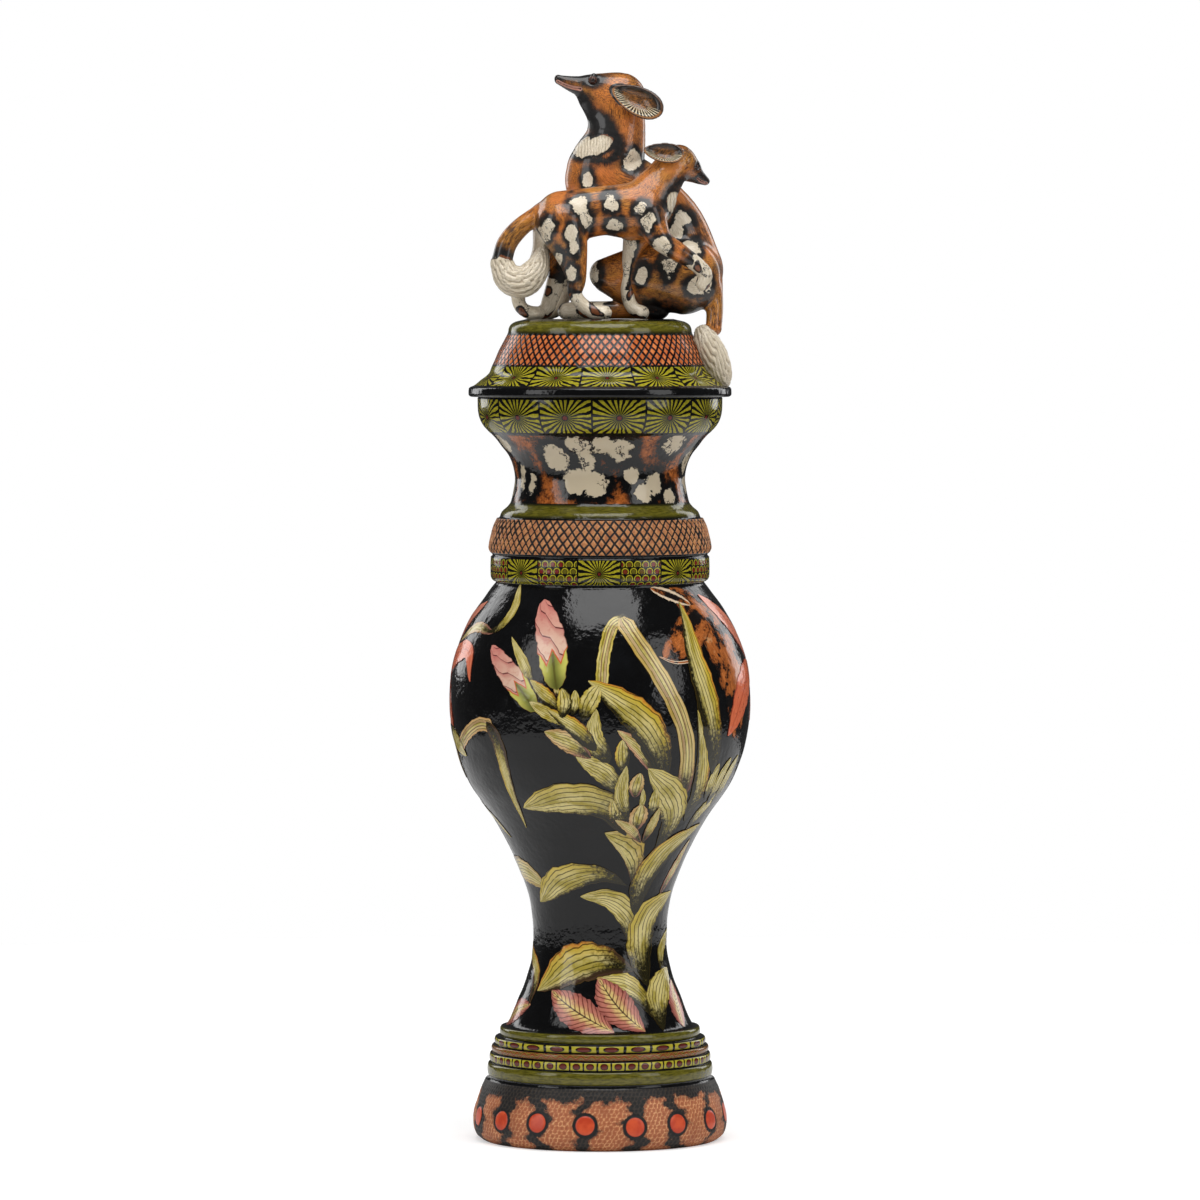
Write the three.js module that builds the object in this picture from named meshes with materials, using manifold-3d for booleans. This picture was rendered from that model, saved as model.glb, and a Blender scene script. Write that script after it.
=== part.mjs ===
// A tall lidded jar of painted ceramic, with two wild dogs modelled on its lid.
// Millimetres, +Z up, +X to the viewer's right, -Y towards the viewer.
// The origin is the middle of the underside that the jar stands on.

import * as THREE from 'three';
import { mergeVertices } from 'three/addons/utils/BufferGeometryUtils.js';
import Module from 'manifold-3d';

const wasm = await Module();
wasm.setup();

// Driving dimensions
const TURNED_SIDES = 28;      // facets round the thrown pieces
const LIMB_SIDES = 7;         // facets round a dog's limb
const BODY_SIDES = 10;        // facets round a dog's body
const RINGS_PER_SPAN = 1.1;  // rings along each span of a limb
const BELLY_R = 99.3;         // widest radius, half-way up the belly
const BELLY_Z = 287;
const STEM_R = 43.9;          // narrowest radius, above the foot
const FOOT_R = 83.8;
const FOOT_TOP = 40.5;
const FLOOR_T = 12;           // the clay under the hollow
const COLLAR_Z = 366;         // where the belly meets the collar
const NECK_R = 55.7;
const RIM_Z = 487;            // the mouth's edge, which carries the lid
const RIM_R = 80.2;
const RIM_INNER_R = 74.4;
const SEAT_GAP = 0.3;         // lid's flange over the mouth's edge
const LID_R = 86.2;
const LID_INNER_R = 67.4;
const PLATE_Z = 538;          // the small platform under the dogs
const PLATE_R = 52;
const CEILING_Z = 531;        // top of the lid's hollow

// ---------------------------------------------------------------- outlines

// A smooth run of [radius, height] points through the given ones.
function smooth(points, pieces) {
  const curve = new THREE.CatmullRomCurve3(
    points.map(([r, z]) => new THREE.Vector3(r, 0, z)), false, 'centripetal');
  return curve.getPoints(pieces).map((p) => [p.x, p.z]);
}

// A bead with eased edges that stands out from the wall between two heights.
function bead(low, high, radius, depth) {
  const corner = (high - low) / 5;
  return [
    [radius - depth, low],
    [radius, low + corner],
    [radius, high - corner],
    [radius - depth, high],
  ];
}

// A turned solid from a closed outline.
function turned(outline) {
  const points = outline.map(([r, z]) => new THREE.Vector2(r, z));
  const geometry = new THREE.LatheGeometry(points, TURNED_SIDES);
  geometry.rotateX(Math.PI / 2);
  return geometry;
}

// ---------------------------------------------------------------- jar

function jarOutline() {
  const outside = [
    [0, 0],
    ...smooth([[77, 0], [FOOT_R, 11], [81, 26], [75.4, FOOT_TOP]], 4),
    ...bead(42, 50.9, 74, 2),
    ...bead(51.4, 57.4, 72.7, 2),
    ...bead(57.8, 62.3, 71.4, 2),
    ...bead(62.6, 67.7, 69.4, 2),
    ...bead(68, 74.5, 65.8, 2),
    ...smooth([[60, 77], [48.8, 105], [STEM_R, 131], [46.2, 157], [55.3, 183],
      [69.4, 210], [86.8, 236], [96, 262], [BELLY_R, BELLY_Z], [94, 321],
      [85.8, 341], [68.1, COLLAR_Z]], 15),
    ...smooth([[71.4, 369], [71.8, 376], [71.6, 383]], 2),
    ...smooth([[72.8, 386], [72.8, 390], [70, 403], [67.8, 408]], 3),
    [65.5, 409],
    [59, 417],
    ...smooth([[58.4, 419], [NECK_R, 434], [59.9, 449], [67.2, 458.8], [72.2, 464]], 5),
    ...smooth([[76.4, 468.4], [79.5, 475], [RIM_R, RIM_Z]], 2),
  ];
  const inside = [
    [RIM_INNER_R, RIM_Z],
    [73.6, 474],
    ...smooth([[62, 460], [53, 449], [49, 434], [51.5, 418], [60, 404], [64, 385],
      [62, 368], [79, 339], [88, 320], [93, BELLY_Z], [89.5, 262], [80, 236],
      [62, 208], [48, 181], [39, 156], [37, 131], [42, 105], [54, 76]], 12),
    [64, 50],
    [68, 30],
    [60, FLOOR_T],
    [0, FLOOR_T],
  ];
  return [...outside, ...inside];
}

// ---------------------------------------------------------------- lid

function lidOutline() {
  const seat = RIM_Z + SEAT_GAP;
  return [
    [0, CEILING_Z],
    [48, CEILING_Z],
    [56, 524],
    [62.5, 508],
    [LID_INNER_R, 492],
    [LID_INNER_R, 478],
    [72.6, 478],
    [72.8, seat],
    [LID_R - 1.4, seat],
    [LID_R, seat + 1.6],
    [LID_R, 492.5],
    [LID_R - 1.4, 494],
    ...smooth([[81, 495], [78.3, 498], [73, 501.5], [70.6, 507.5]], 4),
    [66.3, 517.5],
    [60.5, 528.6],
    [60, 531.4],
    [58.7, 534.2],
    [55.7, 536.5],
    [PLATE_R, PLATE_Z],
    [0, PLATE_Z],
  ];
}

// ---------------------------------------------------------------- dogs

// A limb is a row of [x, y, z, radius] stations that a soft tapering form runs
// through, with round ends. depth is its thickness along Y against its radius.
function limb(stations, depth = 1, sides = LIMB_SIDES) {
  const curve = new THREE.CatmullRomCurve3(
    stations.map(([x, y, z]) => new THREE.Vector3(x, y, z)), false, 'centripetal');
  const spans = stations.length - 1;
  const radiusAt = (t) => {
    const i = Math.min(Math.floor(t * spans), spans - 1);
    const f = t * spans - i;
    return stations[i][3] * (1 - f) + stations[i + 1][3] * f;
  };
  const rings = [];
  const addRing = (t, scale, shift) => {
    const centre = curve.getPoint(t);
    const tangent = curve.getTangent(t);
    const across = new THREE.Vector3(0, 1, 0);
    across.addScaledVector(tangent, -across.dot(tangent)).normalize();
    const up = new THREE.Vector3().crossVectors(tangent, across);
    centre.addScaledVector(tangent, shift);
    const radius = radiusAt(t) * scale;
    const ring = [];
    for (let k = 0; k < sides; k += 1) {
      const angle = 2 * Math.PI * (k / sides);
      ring.push(centre.clone()
        .addScaledVector(across, radius * depth * Math.cos(angle))
        .addScaledVector(up, radius * Math.sin(angle)));
    }
    rings.push(ring);
    return centre;
  };
  const firstTip = curve.getPoint(0).addScaledVector(curve.getTangent(0), -stations[0][3]);
  addRing(0, 0.7, -0.7 * stations[0][3]);
  const count = Math.ceil(spans * RINGS_PER_SPAN);
  for (let i = 0; i <= count; i += 1) addRing(i / count, 1, 0);
  const last = stations[spans][3];
  addRing(1, 0.7, 0.7 * last);
  const lastTip = curve.getPoint(1).addScaledVector(curve.getTangent(1), last);
  return closedRings(rings, firstTip, lastTip);
}

// Joins rings of points into one closed skin with a point at either end.
function closedRings(rings, firstTip, lastTip) {
  const sides = rings[0].length;
  const points = [...rings.flat(), firstTip, lastTip];
  const first = points.length - 2;
  const index = [];
  for (let k = 0; k < sides; k += 1) {
    const next = (k + 1) % sides;
    index.push(first, next, k);
    for (let i = 0; i + 1 < rings.length; i += 1) {
      const a = i * sides;
      const b = a + sides;
      index.push(a + k, a + next, b + next, a + k, b + next, b + k);
    }
    const end = (rings.length - 1) * sides;
    index.push(end + k, end + next, first + 1);
  }
  const geometry = new THREE.BufferGeometry();
  geometry.setAttribute('position', new THREE.Float32BufferAttribute(
    points.flatMap((p) => [p.x, p.y, p.z]), 3));
  geometry.setIndex(index);
  return geometry;
}

// A round ear: a thin dished oval, turned about Y, then X and Z.
function ear([x, y, z], length, width, thickness, tilt, nod, turn) {
  const geometry = new THREE.SphereGeometry(1, 12, 6);
  geometry.scale(length, thickness, width);
  geometry.rotateY(tilt);
  geometry.rotateX(nod);
  geometry.rotateZ(turn);
  geometry.translate(x, y, z);
  return geometry;
}

// The older dog sits with its rump over the platform's edge, muzzle to the left.
function sittingDog() {
  return [
    limb([[56, 14, 570, 24], [43, 14, 598, 24.5], [20, 15, 618, 25.5], [3, 15, 629, 26],
      [8, 15, 652, 21.5], [12, 15, 668, 17.5], [12, 14, 683, 17.2]], 0.85, BODY_SIDES),
    limb([[12, 14, 683, 17], [-5, 13, 687.5, 11.4], [-17, 12, 691.5, 6.4],
      [-28, 11, 695, 3.6]], 0.8),
    limb([[-4, 3, 614, 14], [-21, -2, 592, 9.2], [-27, -4, 568, 6.8], [-32, -5, 552, 5.6],
      [-37, -6, 543, 5]], 1),
    limb([[-4, 25, 614, 14], [-19, 26, 590, 8.8], [-22, 24, 568, 6.2], [-26, 22, 550, 5.2],
      [-32, 20, 543, 4.8]], 1),
    limb([[54, -2, 566, 25], [34, -4, 567, 21], [14, -5, 568, 13.5], [3, -5, 568, 10]], 0.7),
    limb([[54, 30, 566, 24], [34, 31, 567, 20], [14, 31, 566, 13.5], [4, 31, 566, 10]], 0.7),
    limb([[3, -5, 566, 9.5], [22, -4, 552, 8.5], [38, -2, 545, 7]], 0.9),
    limb([[38, -2, 544.5, 6.5], [8, -3, 544, 5.8], [-20, -4, 544, 6.6]], 1),
    limb([[4, 31, 564, 9], [22, 31, 552, 8], [38, 31, 545, 7]], 0.9),
    limb([[38, 31, 544.5, 6.5], [10, 31, 544, 5.8], [-14, 30, 544, 6.6]], 1),
    limb([[68, 8, 572, 9], [73, 4, 560, 7], [75, -1, 546, 5.8], [74.5, -6, 532, 5.4]], 1),
    limb([[68, -9, 528, 6.6], [71, -11, 520, 9], [75, -11, 511, 9.6], [79.5, -10, 502, 7.8],
      [81, -9.5, 497, 4.8]], 1),
    ear([25, 0, 680], 18.5, 9.4, 3.2, 0.49, 0.15, -0.22),
    ear([24, 26, 679], 15.5, 7.6, 3.4, 0.49, -0.2, 0.22),
  ];
}

// The younger one stands in front, muzzle to the right, a forepaw on the other's haunch.
function standingDog() {
  return [
    limb([[-24, -20, 604, 17.5], [2, -21, 608.5, 16], [27, -21, 610, 18.5], [39, -18, 625, 14],
      [47, -16, 636, 11.5], [54, -13, 640, 10.8]], 0.85, BODY_SIDES),
    limb([[55, -12, 639, 10.5], [63, -8, 632, 6.2], [69, -6, 628, 3]], 0.85),
    limb([[-24, -28, 600, 16.5], [-17, -30, 577, 9.8], [-15, -30, 563, 6.2], [-14, -30, 553, 5],
      [-6, -30, 545, 4.8], [3, -31, 542.5, 4.8]], 0.9),
    limb([[-29, -12, 600, 14.5], [-35, -9, 581, 9.4], [-44, -8, 567, 6.2], [-53, -8, 554, 5],
      [-51, -9, 545, 4.4], [-41, -10, 542.2, 4.6]], 0.9),
    limb([[28, -13, 600, 12], [22, -12, 584, 7], [19, -12, 567, 5], [18.5, -12, 553, 4.6],
      [23, -13, 544.5, 4.6], [29, -14, 542.5, 4.6]], 1),
    limb([[32, -29, 606, 11.5], [40, -33, 590, 7.6], [54, -33, 580, 6], [64, -31, 573, 5.2],
      [69, -29, 567, 5], [68, -28, 561, 5]], 1),
    limb([[-39, -20, 607, 5.5], [-52, -22, 597, 6], [-60, -24, 587, 6.6], [-63, -25, 575, 7.6],
      [-58, -26, 564.5, 9.6], [-49, -26, 562.5, 10.2], [-41, -24, 571, 8], [-38, -22, 580, 5]], 1),
    ear([42, -25.5, 645.5], 13.2, 6.6, 2.8, 0.12, 0.3, 0),
    ear([45, -6, 646.5], 10, 5.4, 3, 0.2, -0.4, 0.3),
  ];
}

// ---------------------------------------------------------------- joining

function solid(geometry) {
  geometry.deleteAttribute('normal');
  geometry.deleteAttribute('uv');
  const merged = mergeVertices(geometry, 1e-4);
  const triangles = Array.from(merged.index.array);
  const kept = [];
  for (let i = 0; i < triangles.length; i += 3) {
    const [a, b, c] = triangles.slice(i, i + 3);
    if (a !== b && b !== c && c !== a) kept.push(a, b, c);
  }
  return new wasm.Manifold(new wasm.Mesh({
    numProp: 3,
    vertProperties: new Float32Array(merged.attributes.position.array),
    triVerts: new Uint32Array(kept),
  }));
}

function joined(geometries) {
  return geometries.map(solid).reduce((sum, next) => sum.add(next));
}

function geometryOf(body) {
  const mesh = body.getMesh();
  const geometry = new THREE.BufferGeometry();
  geometry.setAttribute('position', new THREE.BufferAttribute(mesh.vertProperties, 3));
  geometry.setIndex(new THREE.BufferAttribute(mesh.triVerts, 1));
  return geometry;
}

function piece(name, geometry, color, roughness) {
  const material = new THREE.MeshStandardMaterial({ color, roughness, metalness: 0 });
  const mesh = new THREE.Mesh(geometry, material);
  mesh.name = name;
  return mesh;
}

const vase = new THREE.Group();
vase.add(piece('jar', geometryOf(solid(turned(jarOutline()))), 0x16160f, 0.15));
vase.add(piece('lid', geometryOf(joined([turned(lidOutline()), ...sittingDog(),
  ...standingDog()])), 0xb5602c, 0.25));

export default vase;
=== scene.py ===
"""A tall lidded jar of painted and glazed ceramic, with two wild dogs modelled on its lid.

Lengths in this script are millimetres until a mesh is made. Angles round the jar start at the front
(-Y) and grow towards +X. The rim's height and the widest radii of belly and lid come from the frame,
and the other sizes are given here.
"""

import math

import bpy
import numpy as np
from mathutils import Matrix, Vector


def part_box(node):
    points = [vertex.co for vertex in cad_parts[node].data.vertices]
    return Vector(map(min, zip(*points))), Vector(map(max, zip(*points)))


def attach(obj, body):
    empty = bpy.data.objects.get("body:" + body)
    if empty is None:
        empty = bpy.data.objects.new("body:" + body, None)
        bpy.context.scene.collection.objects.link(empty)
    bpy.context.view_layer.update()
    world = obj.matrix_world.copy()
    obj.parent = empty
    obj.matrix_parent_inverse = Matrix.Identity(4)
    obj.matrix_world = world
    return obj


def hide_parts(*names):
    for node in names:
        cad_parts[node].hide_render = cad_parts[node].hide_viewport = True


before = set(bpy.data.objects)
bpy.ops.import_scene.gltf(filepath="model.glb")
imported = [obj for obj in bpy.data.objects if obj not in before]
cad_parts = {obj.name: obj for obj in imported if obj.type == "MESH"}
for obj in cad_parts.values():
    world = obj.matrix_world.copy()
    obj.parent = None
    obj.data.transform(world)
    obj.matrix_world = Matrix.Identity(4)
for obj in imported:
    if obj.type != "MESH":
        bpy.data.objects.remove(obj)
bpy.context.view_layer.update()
MM = 0.001

JAR_BOX = [[c / MM for c in corner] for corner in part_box("jar")]
LID_BOX = [[c / MM for c in corner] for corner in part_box("lid")]
BELLY_R = JAR_BOX[1][0] - 0.7        # leaves room inside the frame for the paint's thickness
RIM_Z = JAR_BOX[1][2]
LID_R = LID_BOX[1][1]


# ---------------------------------------------------------------- curves

def smooth(points, count):
    """count rows of a smooth curve through the points, evenly spaced along it."""
    p = np.array(points, float)
    chord = np.linalg.norm(np.diff(p, axis=0), axis=1)
    t = np.concatenate([[0.0], np.cumsum(np.sqrt(chord))])
    slope = np.gradient(p, t, axis=0) if len(p) > 2 else np.tile((p[1] - p[0]) / t[1], (2, 1))
    dense = np.linspace(0, t[-1], 40 * len(p))
    i = np.clip(np.searchsorted(t, dense, side="right") - 1, 0, len(p) - 2)
    step = (t[i + 1] - t[i])[:, None]
    f = ((dense - t[i]) / step[:, 0])[:, None]
    curve = ((2 * f**3 - 3 * f**2 + 1) * p[i] + (f**3 - 2 * f**2 + f) * step * slope[i]
             + (3 * f**2 - 2 * f**3) * p[i + 1] + (f**3 - f**2) * step * slope[i + 1])
    along = np.concatenate([[0.0], np.cumsum(np.linalg.norm(np.diff(curve, axis=0), axis=1))])
    even = np.linspace(0, along[-1], count)
    return np.column_stack([np.interp(even, along, curve[:, k]) for k in range(p.shape[1])])


def bead(low, high, radius, depth, count=9):
    """A half-round bead that stands out from the wall between two heights."""
    angle = np.linspace(0, math.pi, count)
    out = depth * np.sin(angle) ** 0.55
    return np.column_stack([radius - depth + out, (low + high) / 2 - np.cos(angle) * (high - low) / 2])


# ---------------------------------------------------------------- turned pieces

class Zone:
    """A stretch of a turned piece: its outline, how many facets go round it, its finish, and its
    relief, a function of (angle, along, length, radius) that says how far it stands out."""

    def __init__(self, outline, facets, finish, relief=None):
        self.outline = np.array(outline, float)
        self.facets = facets
        self.finish = finish
        self.relief = relief


def zone_points(zone):
    """The zone's points as rows of rings, pushed out by its relief."""
    outline = zone.outline
    step = np.diff(outline, axis=0)
    along = np.concatenate([[0.0], np.cumsum(np.linalg.norm(step, axis=1))])
    tangent = np.gradient(outline, axis=0)
    tangent /= np.maximum(np.linalg.norm(tangent, axis=1, keepdims=True), 1e-9)
    normal = np.column_stack([tangent[:, 1], -tangent[:, 0]])
    angle = -math.pi + 2 * math.pi * np.arange(zone.facets) / zone.facets
    a, s = np.meshgrid(angle, along)
    r = np.repeat(outline[:, :1], zone.facets, axis=1)
    z = np.repeat(outline[:, 1:], zone.facets, axis=1)
    if zone.relief is not None:
        push = zone.relief(a, s, along[-1], r)
        r = r + push * normal[:, :1]
        z = z + push * normal[:, 1:]
    return np.stack([r * np.sin(a), -r * np.cos(a), z], axis=-1)


def turned(name, zones, finishes):
    """Joins the zones, each starting where the last one ends, into one closed mesh with a UV map."""
    points, faces, slots, uvs = [], [], [], []
    rings = []
    total = 0

    def add_ring(ring):
        nonlocal total
        points.append(ring)
        rings.append((total, len(ring)))
        total += len(ring)
        return len(rings) - 1

    def join(low, high, v0, v1, slot):
        (a0, n0), (b0, n1) = rings[low], rings[high]
        coarse = min(n0, n1)
        k0, k1 = n0 // coarse, n1 // coarse
        for j in range(coarse):
            lower = [(a0 + (j * k0 + i) % n0, (j * k0 + i) / n0, v0) for i in range(k0 + 1)]
            upper = [(b0 + (j * k1 + i) % n1, (j * k1 + i) / n1, v1) for i in range(k1 + 1)]
            corners = lower + upper[::-1]
            faces.append([c[0] for c in corners])
            uvs.extend((c[1], c[2]) for c in corners)
            slots.append(slot)

    last = None
    for zone in zones:
        grid = zone_points(zone)
        slot = finishes.index(zone.finish)
        rows = len(grid)
        start = 0 if last is None else 1
        for i in range(start, rows):
            ring = add_ring(grid[i])
            if last is not None:
                join(last, ring, max(i - 1, 0) / (rows - 1), i / (rows - 1), slot)
            last = ring
    for ring, slot, flip in ((0, finishes.index(zones[0].finish), True),
                             (last, finishes.index(zones[-1].finish), False)):
        first, n = rings[ring]
        loop = list(range(first, first + n))
        faces.append(loop[::-1] if flip else loop)
        uvs.extend([(0.5, 0.0 if flip else 1.0)] * n)
        slots.append(slot)
    piece = mesh_object(name, np.concatenate(points), faces, finishes, slots)
    layer = piece.data.uv_layers.new(name="turned")
    layer.data.foreach_set("uv", np.array(uvs, np.float32).ravel())
    return piece


def mesh_object(name, points, faces, finishes, slots=None):
    """A smooth-shaded object from points in millimetres."""
    mesh = bpy.data.meshes.new(name)
    mesh.from_pydata((np.asarray(points) * MM).tolist(), [], faces)
    for finish in finishes:
        mesh.materials.append(finish)
    if slots is not None:
        mesh.polygons.foreach_set("material_index", np.array(slots, np.int32))
    mesh.polygons.foreach_set("use_smooth", [True] * len(mesh.polygons))
    piece = bpy.data.objects.new(name, mesh)
    bpy.context.scene.collection.objects.link(piece)
    return piece


# ---------------------------------------------------------------- material arithmetic

def rgb(red, green, blue):
    """A colour given as 0-255 screen values, in Blender's linear light."""
    def linear(value):
        return ((value / 255 + 0.055) / 1.055) ** 2.4 if value > 10 else value / 3294.6

    return linear(red), linear(green), linear(blue), 1


class Value:
    """A number in a material's node tree, with the usual arithmetic."""

    def __init__(self, tree, socket):
        self.tree = tree
        self.socket = socket

    def math(self, operation, *others):
        node = self.tree.nodes.new("ShaderNodeMath")
        node.operation = operation
        for slot, value in zip(node.inputs, (self, *others)):
            connect(self.tree, value, slot)
        return Value(self.tree, node.outputs[0])

    def __add__(self, other):
        return self.math("ADD", other)

    def __sub__(self, other):
        return self.math("SUBTRACT", other)

    def __rsub__(self, other):
        return (self * -1) + other

    def __mul__(self, other):
        return self.math("MULTIPLY", other)

    def __truediv__(self, other):
        return self.math("DIVIDE", other)

    def __lt__(self, other):
        return self.math("LESS_THAN", other)

    def __gt__(self, other):
        return self.math("GREATER_THAN", other)

    __radd__ = __add__
    __rmul__ = __mul__

    def fract(self):
        return self.math("FRACT")

    def floor(self):
        return self.math("FLOOR")

    def size(self):
        return self.math("ABSOLUTE")

    def sine(self):
        return self.math("SINE")

    def most(self, other):
        return self.math("MAXIMUM", other)

    def power(self, other):
        return self.math("POWER", other)

    def turn(self, other):
        return self.math("ARCTAN2", other)

    def root(self):
        return self.math("SQRT")

    def ramp(self, low, high, out_low=0.0, out_high=1.0):
        """A soft step from out_low at low to out_high at high."""
        node = self.tree.nodes.new("ShaderNodeMapRange")
        node.interpolation_type = "SMOOTHSTEP"
        connect(self.tree, self, node.inputs["Value"])
        settings = {"From Min": low, "From Max": high, "To Min": out_low, "To Max": out_high}
        for key, value in settings.items():
            node.inputs[key].default_value = value
        return Value(self.tree, node.outputs["Result"])


def connect(tree, value, slot):
    if isinstance(value, Value):
        tree.links.new(value.socket, slot)
    else:
        slot.default_value = value


# A Mix node's sockets for colours, by place, because its sockets for numbers have the same names.
MIX_BELOW, MIX_ABOVE, MIX_COLOR = 6, 7, 2


class Paint:
    """A glazed or bare clay material under construction."""

    def __init__(self, name):
        self.material = bpy.data.materials.new(name)
        self.material.use_nodes = True
        self.tree = self.material.node_tree
        self.shader = self.tree.nodes["Principled BSDF"]

    def node(self, kind, **settings):
        node = self.tree.nodes.new(kind)
        for key, value in settings.items():
            setattr(node, key, value)
        return node

    def map(self, layer):
        """The two values of a UV map."""
        split = self.node("ShaderNodeSeparateXYZ")
        self.tree.links.new(self.node("ShaderNodeUVMap", uv_map=layer).outputs[0], split.inputs[0])
        return Value(self.tree, split.outputs[0]), Value(self.tree, split.outputs[1])

    def stored(self, name):
        """The three values and the vector of a point's stored numbers."""
        source = self.node("ShaderNodeAttribute", attribute_name=name)
        split = self.node("ShaderNodeSeparateXYZ")
        self.tree.links.new(source.outputs["Vector"], split.inputs[0])
        values = [Value(self.tree, split.outputs[k]) for k in range(3)]
        return values + [Value(self.tree, source.outputs["Vector"])]

    def place(self):
        """The point's own place in the piece, in metres."""
        return Value(self.tree, self.node("ShaderNodeTexCoord").outputs["Object"])

    def vector(self, x, y, z):
        node = self.node("ShaderNodeCombineXYZ")
        for value, slot in zip((x, y, z), node.inputs):
            connect(self.tree, value, slot)
        return Value(self.tree, node.outputs[0])

    def noise(self, where, scale, detail=2.0, rough=0.5):
        node = self.node("ShaderNodeTexNoise")
        connect(self.tree, where, node.inputs["Vector"])
        settings = {"Scale": scale, "Detail": detail, "Roughness": rough}
        for key, value in settings.items():
            node.inputs[key].default_value = value
        return Value(self.tree, node.outputs["Fac"])

    def cells(self, where, scale):
        """The distance from the nearest of many scattered points."""
        node = self.node("ShaderNodeTexVoronoi")
        connect(self.tree, where, node.inputs["Vector"])
        node.inputs["Scale"].default_value = scale
        return Value(self.tree, node.outputs["Distance"])

    def mix(self, amount, below, above):
        """The colour below, covered by the colour above as far as amount says."""
        node = self.node("ShaderNodeMix", data_type="RGBA")
        node.clamp_factor = True
        connect(self.tree, amount, node.inputs["Factor"])
        connect(self.tree, below, node.inputs[MIX_BELOW])
        connect(self.tree, above, node.inputs[MIX_ABOVE])
        return Value(self.tree, node.outputs[MIX_COLOR])

    def finish(self, color, roughness=0.1, height=None, depth=0.0002, coat=0.0):
        """Sets the colour and gloss, and a bump of the given depth in metres from height."""
        connect(self.tree, color, self.shader.inputs["Base Color"])
        connect(self.tree, roughness, self.shader.inputs["Roughness"])
        self.shader.inputs["IOR"].default_value = 1.5
        if coat:
            self.shader.inputs["Coat Weight"].default_value = coat
            self.shader.inputs["Coat Roughness"].default_value = 0.1
        if height is not None:
            bump = self.node("ShaderNodeBump")
            bump.inputs["Distance"].default_value = depth
            bump.inputs["Strength"].default_value = 1.0
            connect(self.tree, height, bump.inputs["Height"])
            self.tree.links.new(bump.outputs[0], self.shader.inputs["Normal"])
        return self.material


BLACK = rgb(10, 10, 11)
YELLOW = rgb(170, 159, 36)


def glaze_waves(paint):
    """The slight unevenness of a brushed and fired glaze."""
    where = paint.place()
    return paint.noise(where, 55, 2.0) + paint.noise(where, 300, 2.0) * 0.35


def black_glaze():
    """The glossy black ground of the belly and of the narrow steps."""
    paint = Paint("black_glaze")
    where = paint.place()
    tone = paint.mix(paint.noise(where, 30, 4.0, 0.7).ramp(0.45, 0.8), BLACK, rgb(17, 18, 20))
    paint.shader.inputs["Specular IOR Level"].default_value = 0.42
    return paint.finish(tone, paint.noise(where, 90, 3.0).ramp(0.3, 0.75, 0.07, 0.17),
                        glaze_waves(paint), 0.0007)


def olive_glaze():
    """Olive brushed round a bead, darker at its edges."""
    paint = Paint("olive_glaze")
    u, v = paint.map("turned")
    strokes = paint.noise(paint.vector(u * 26, v * 3, 0), 3.0, 4.0, 0.65)
    color = paint.mix(strokes.ramp(0.3, 0.7), rgb(68, 64, 14), rgb(112, 106, 32))
    edge = ((v - 0.5).size() + strokes * 0.1).ramp(0.34, 0.52)
    color = paint.mix(edge * 0.9, color, rgb(30, 30, 8))
    return paint.finish(color, 0.12, glaze_waves(paint), 0.0005)


def rayed_cell(paint, u, v, aspect):
    """How far a point is inside a ray, the centre's disc and the dividing line of a row of rayed cells.
    u counts the cells, v is 0 to 1 up the row, and aspect is a cell's width over its height."""
    across = u.fract() - 0.5
    up = v - 0.5
    wobble = paint.noise(paint.vector(u, v, 0), 3.5, 2.0) - 0.5
    angle = (up + wobble * 0.05).turn((across + wobble * 0.03) * aspect)
    out = ((across * aspect).power(2) + up.power(2)).root()
    rays = 23
    blade = ((angle * (rays / (2 * math.pi)) + wobble * 0.9).fract() - 0.5).size()
    width = out.ramp(0.05, 0.3, 0.18, 0.255)
    ray = (blade - width).ramp(-0.04, 0.04, 1.0, 0.0) * (out > 0.085)
    disc = out.ramp(0.045, 0.065, 1.0, 0.0)
    line = across.size().ramp(0.475, 0.487)
    return ray * (1 - line), disc, line, out


def rayed_band(name, cells, aspect, turn, scaled=False):
    """A band of rayed cells on black, one of them centred turn degrees round from the front;
    scaled has every other cell filled with dotted scales."""
    paint = Paint(name)
    around, v = paint.map("turned")
    u = around * cells + (cells * 2 + 0.5 - cells * (0.5 + turn / 360)) % 2
    ray, disc, line, out = rayed_cell(paint, u, v, aspect)
    streak = paint.noise(paint.vector(u * 9, v * 9, 0), 2.0, 2.0)
    leaf = paint.mix(out.ramp(0.1, 0.42), rgb(120, 114, 22), YELLOW)
    leaf = paint.mix(streak.ramp(0.35, 0.7) * 0.6, leaf, rgb(104, 100, 22))
    color = paint.mix(ray, BLACK, leaf)
    color = paint.mix(disc, color, rgb(98, 30, 20))
    if scaled:
        columns, rows = 5, 4
        row = (v * rows).floor()
        shift = (row * 0.5).fract()
        place = u * columns + shift
        across = place.fract() - 0.5
        up = (v * rows).fract() - 0.32
        out = ((across * 1.05).power(2) + (up * 0.85).power(2)).root()
        pick = (place.floor() * 12.99 + row * 78.2).sine().size()
        heart = paint.mix(pick.ramp(0.3, 0.5), rgb(96, 88, 24), rgb(116, 30, 24))
        scallop = paint.mix(out.ramp(0.24, 0.3), heart, BLACK)
        scallop = paint.mix(out.ramp(0.31, 0.37), scallop, YELLOW)
        scallop = paint.mix(out.ramp(0.43, 0.5), scallop, BLACK)
        odd = ((u * 0.5).fract() > 0.5) * (1 - line)
        color = paint.mix(odd, color, scallop)
    rim = (v - 0.5).size().ramp(0.475, 0.49)
    color = paint.mix(rim, color, BLACK)
    return paint.finish(color, 0.12, glaze_waves(paint), 0.0004)


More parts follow.
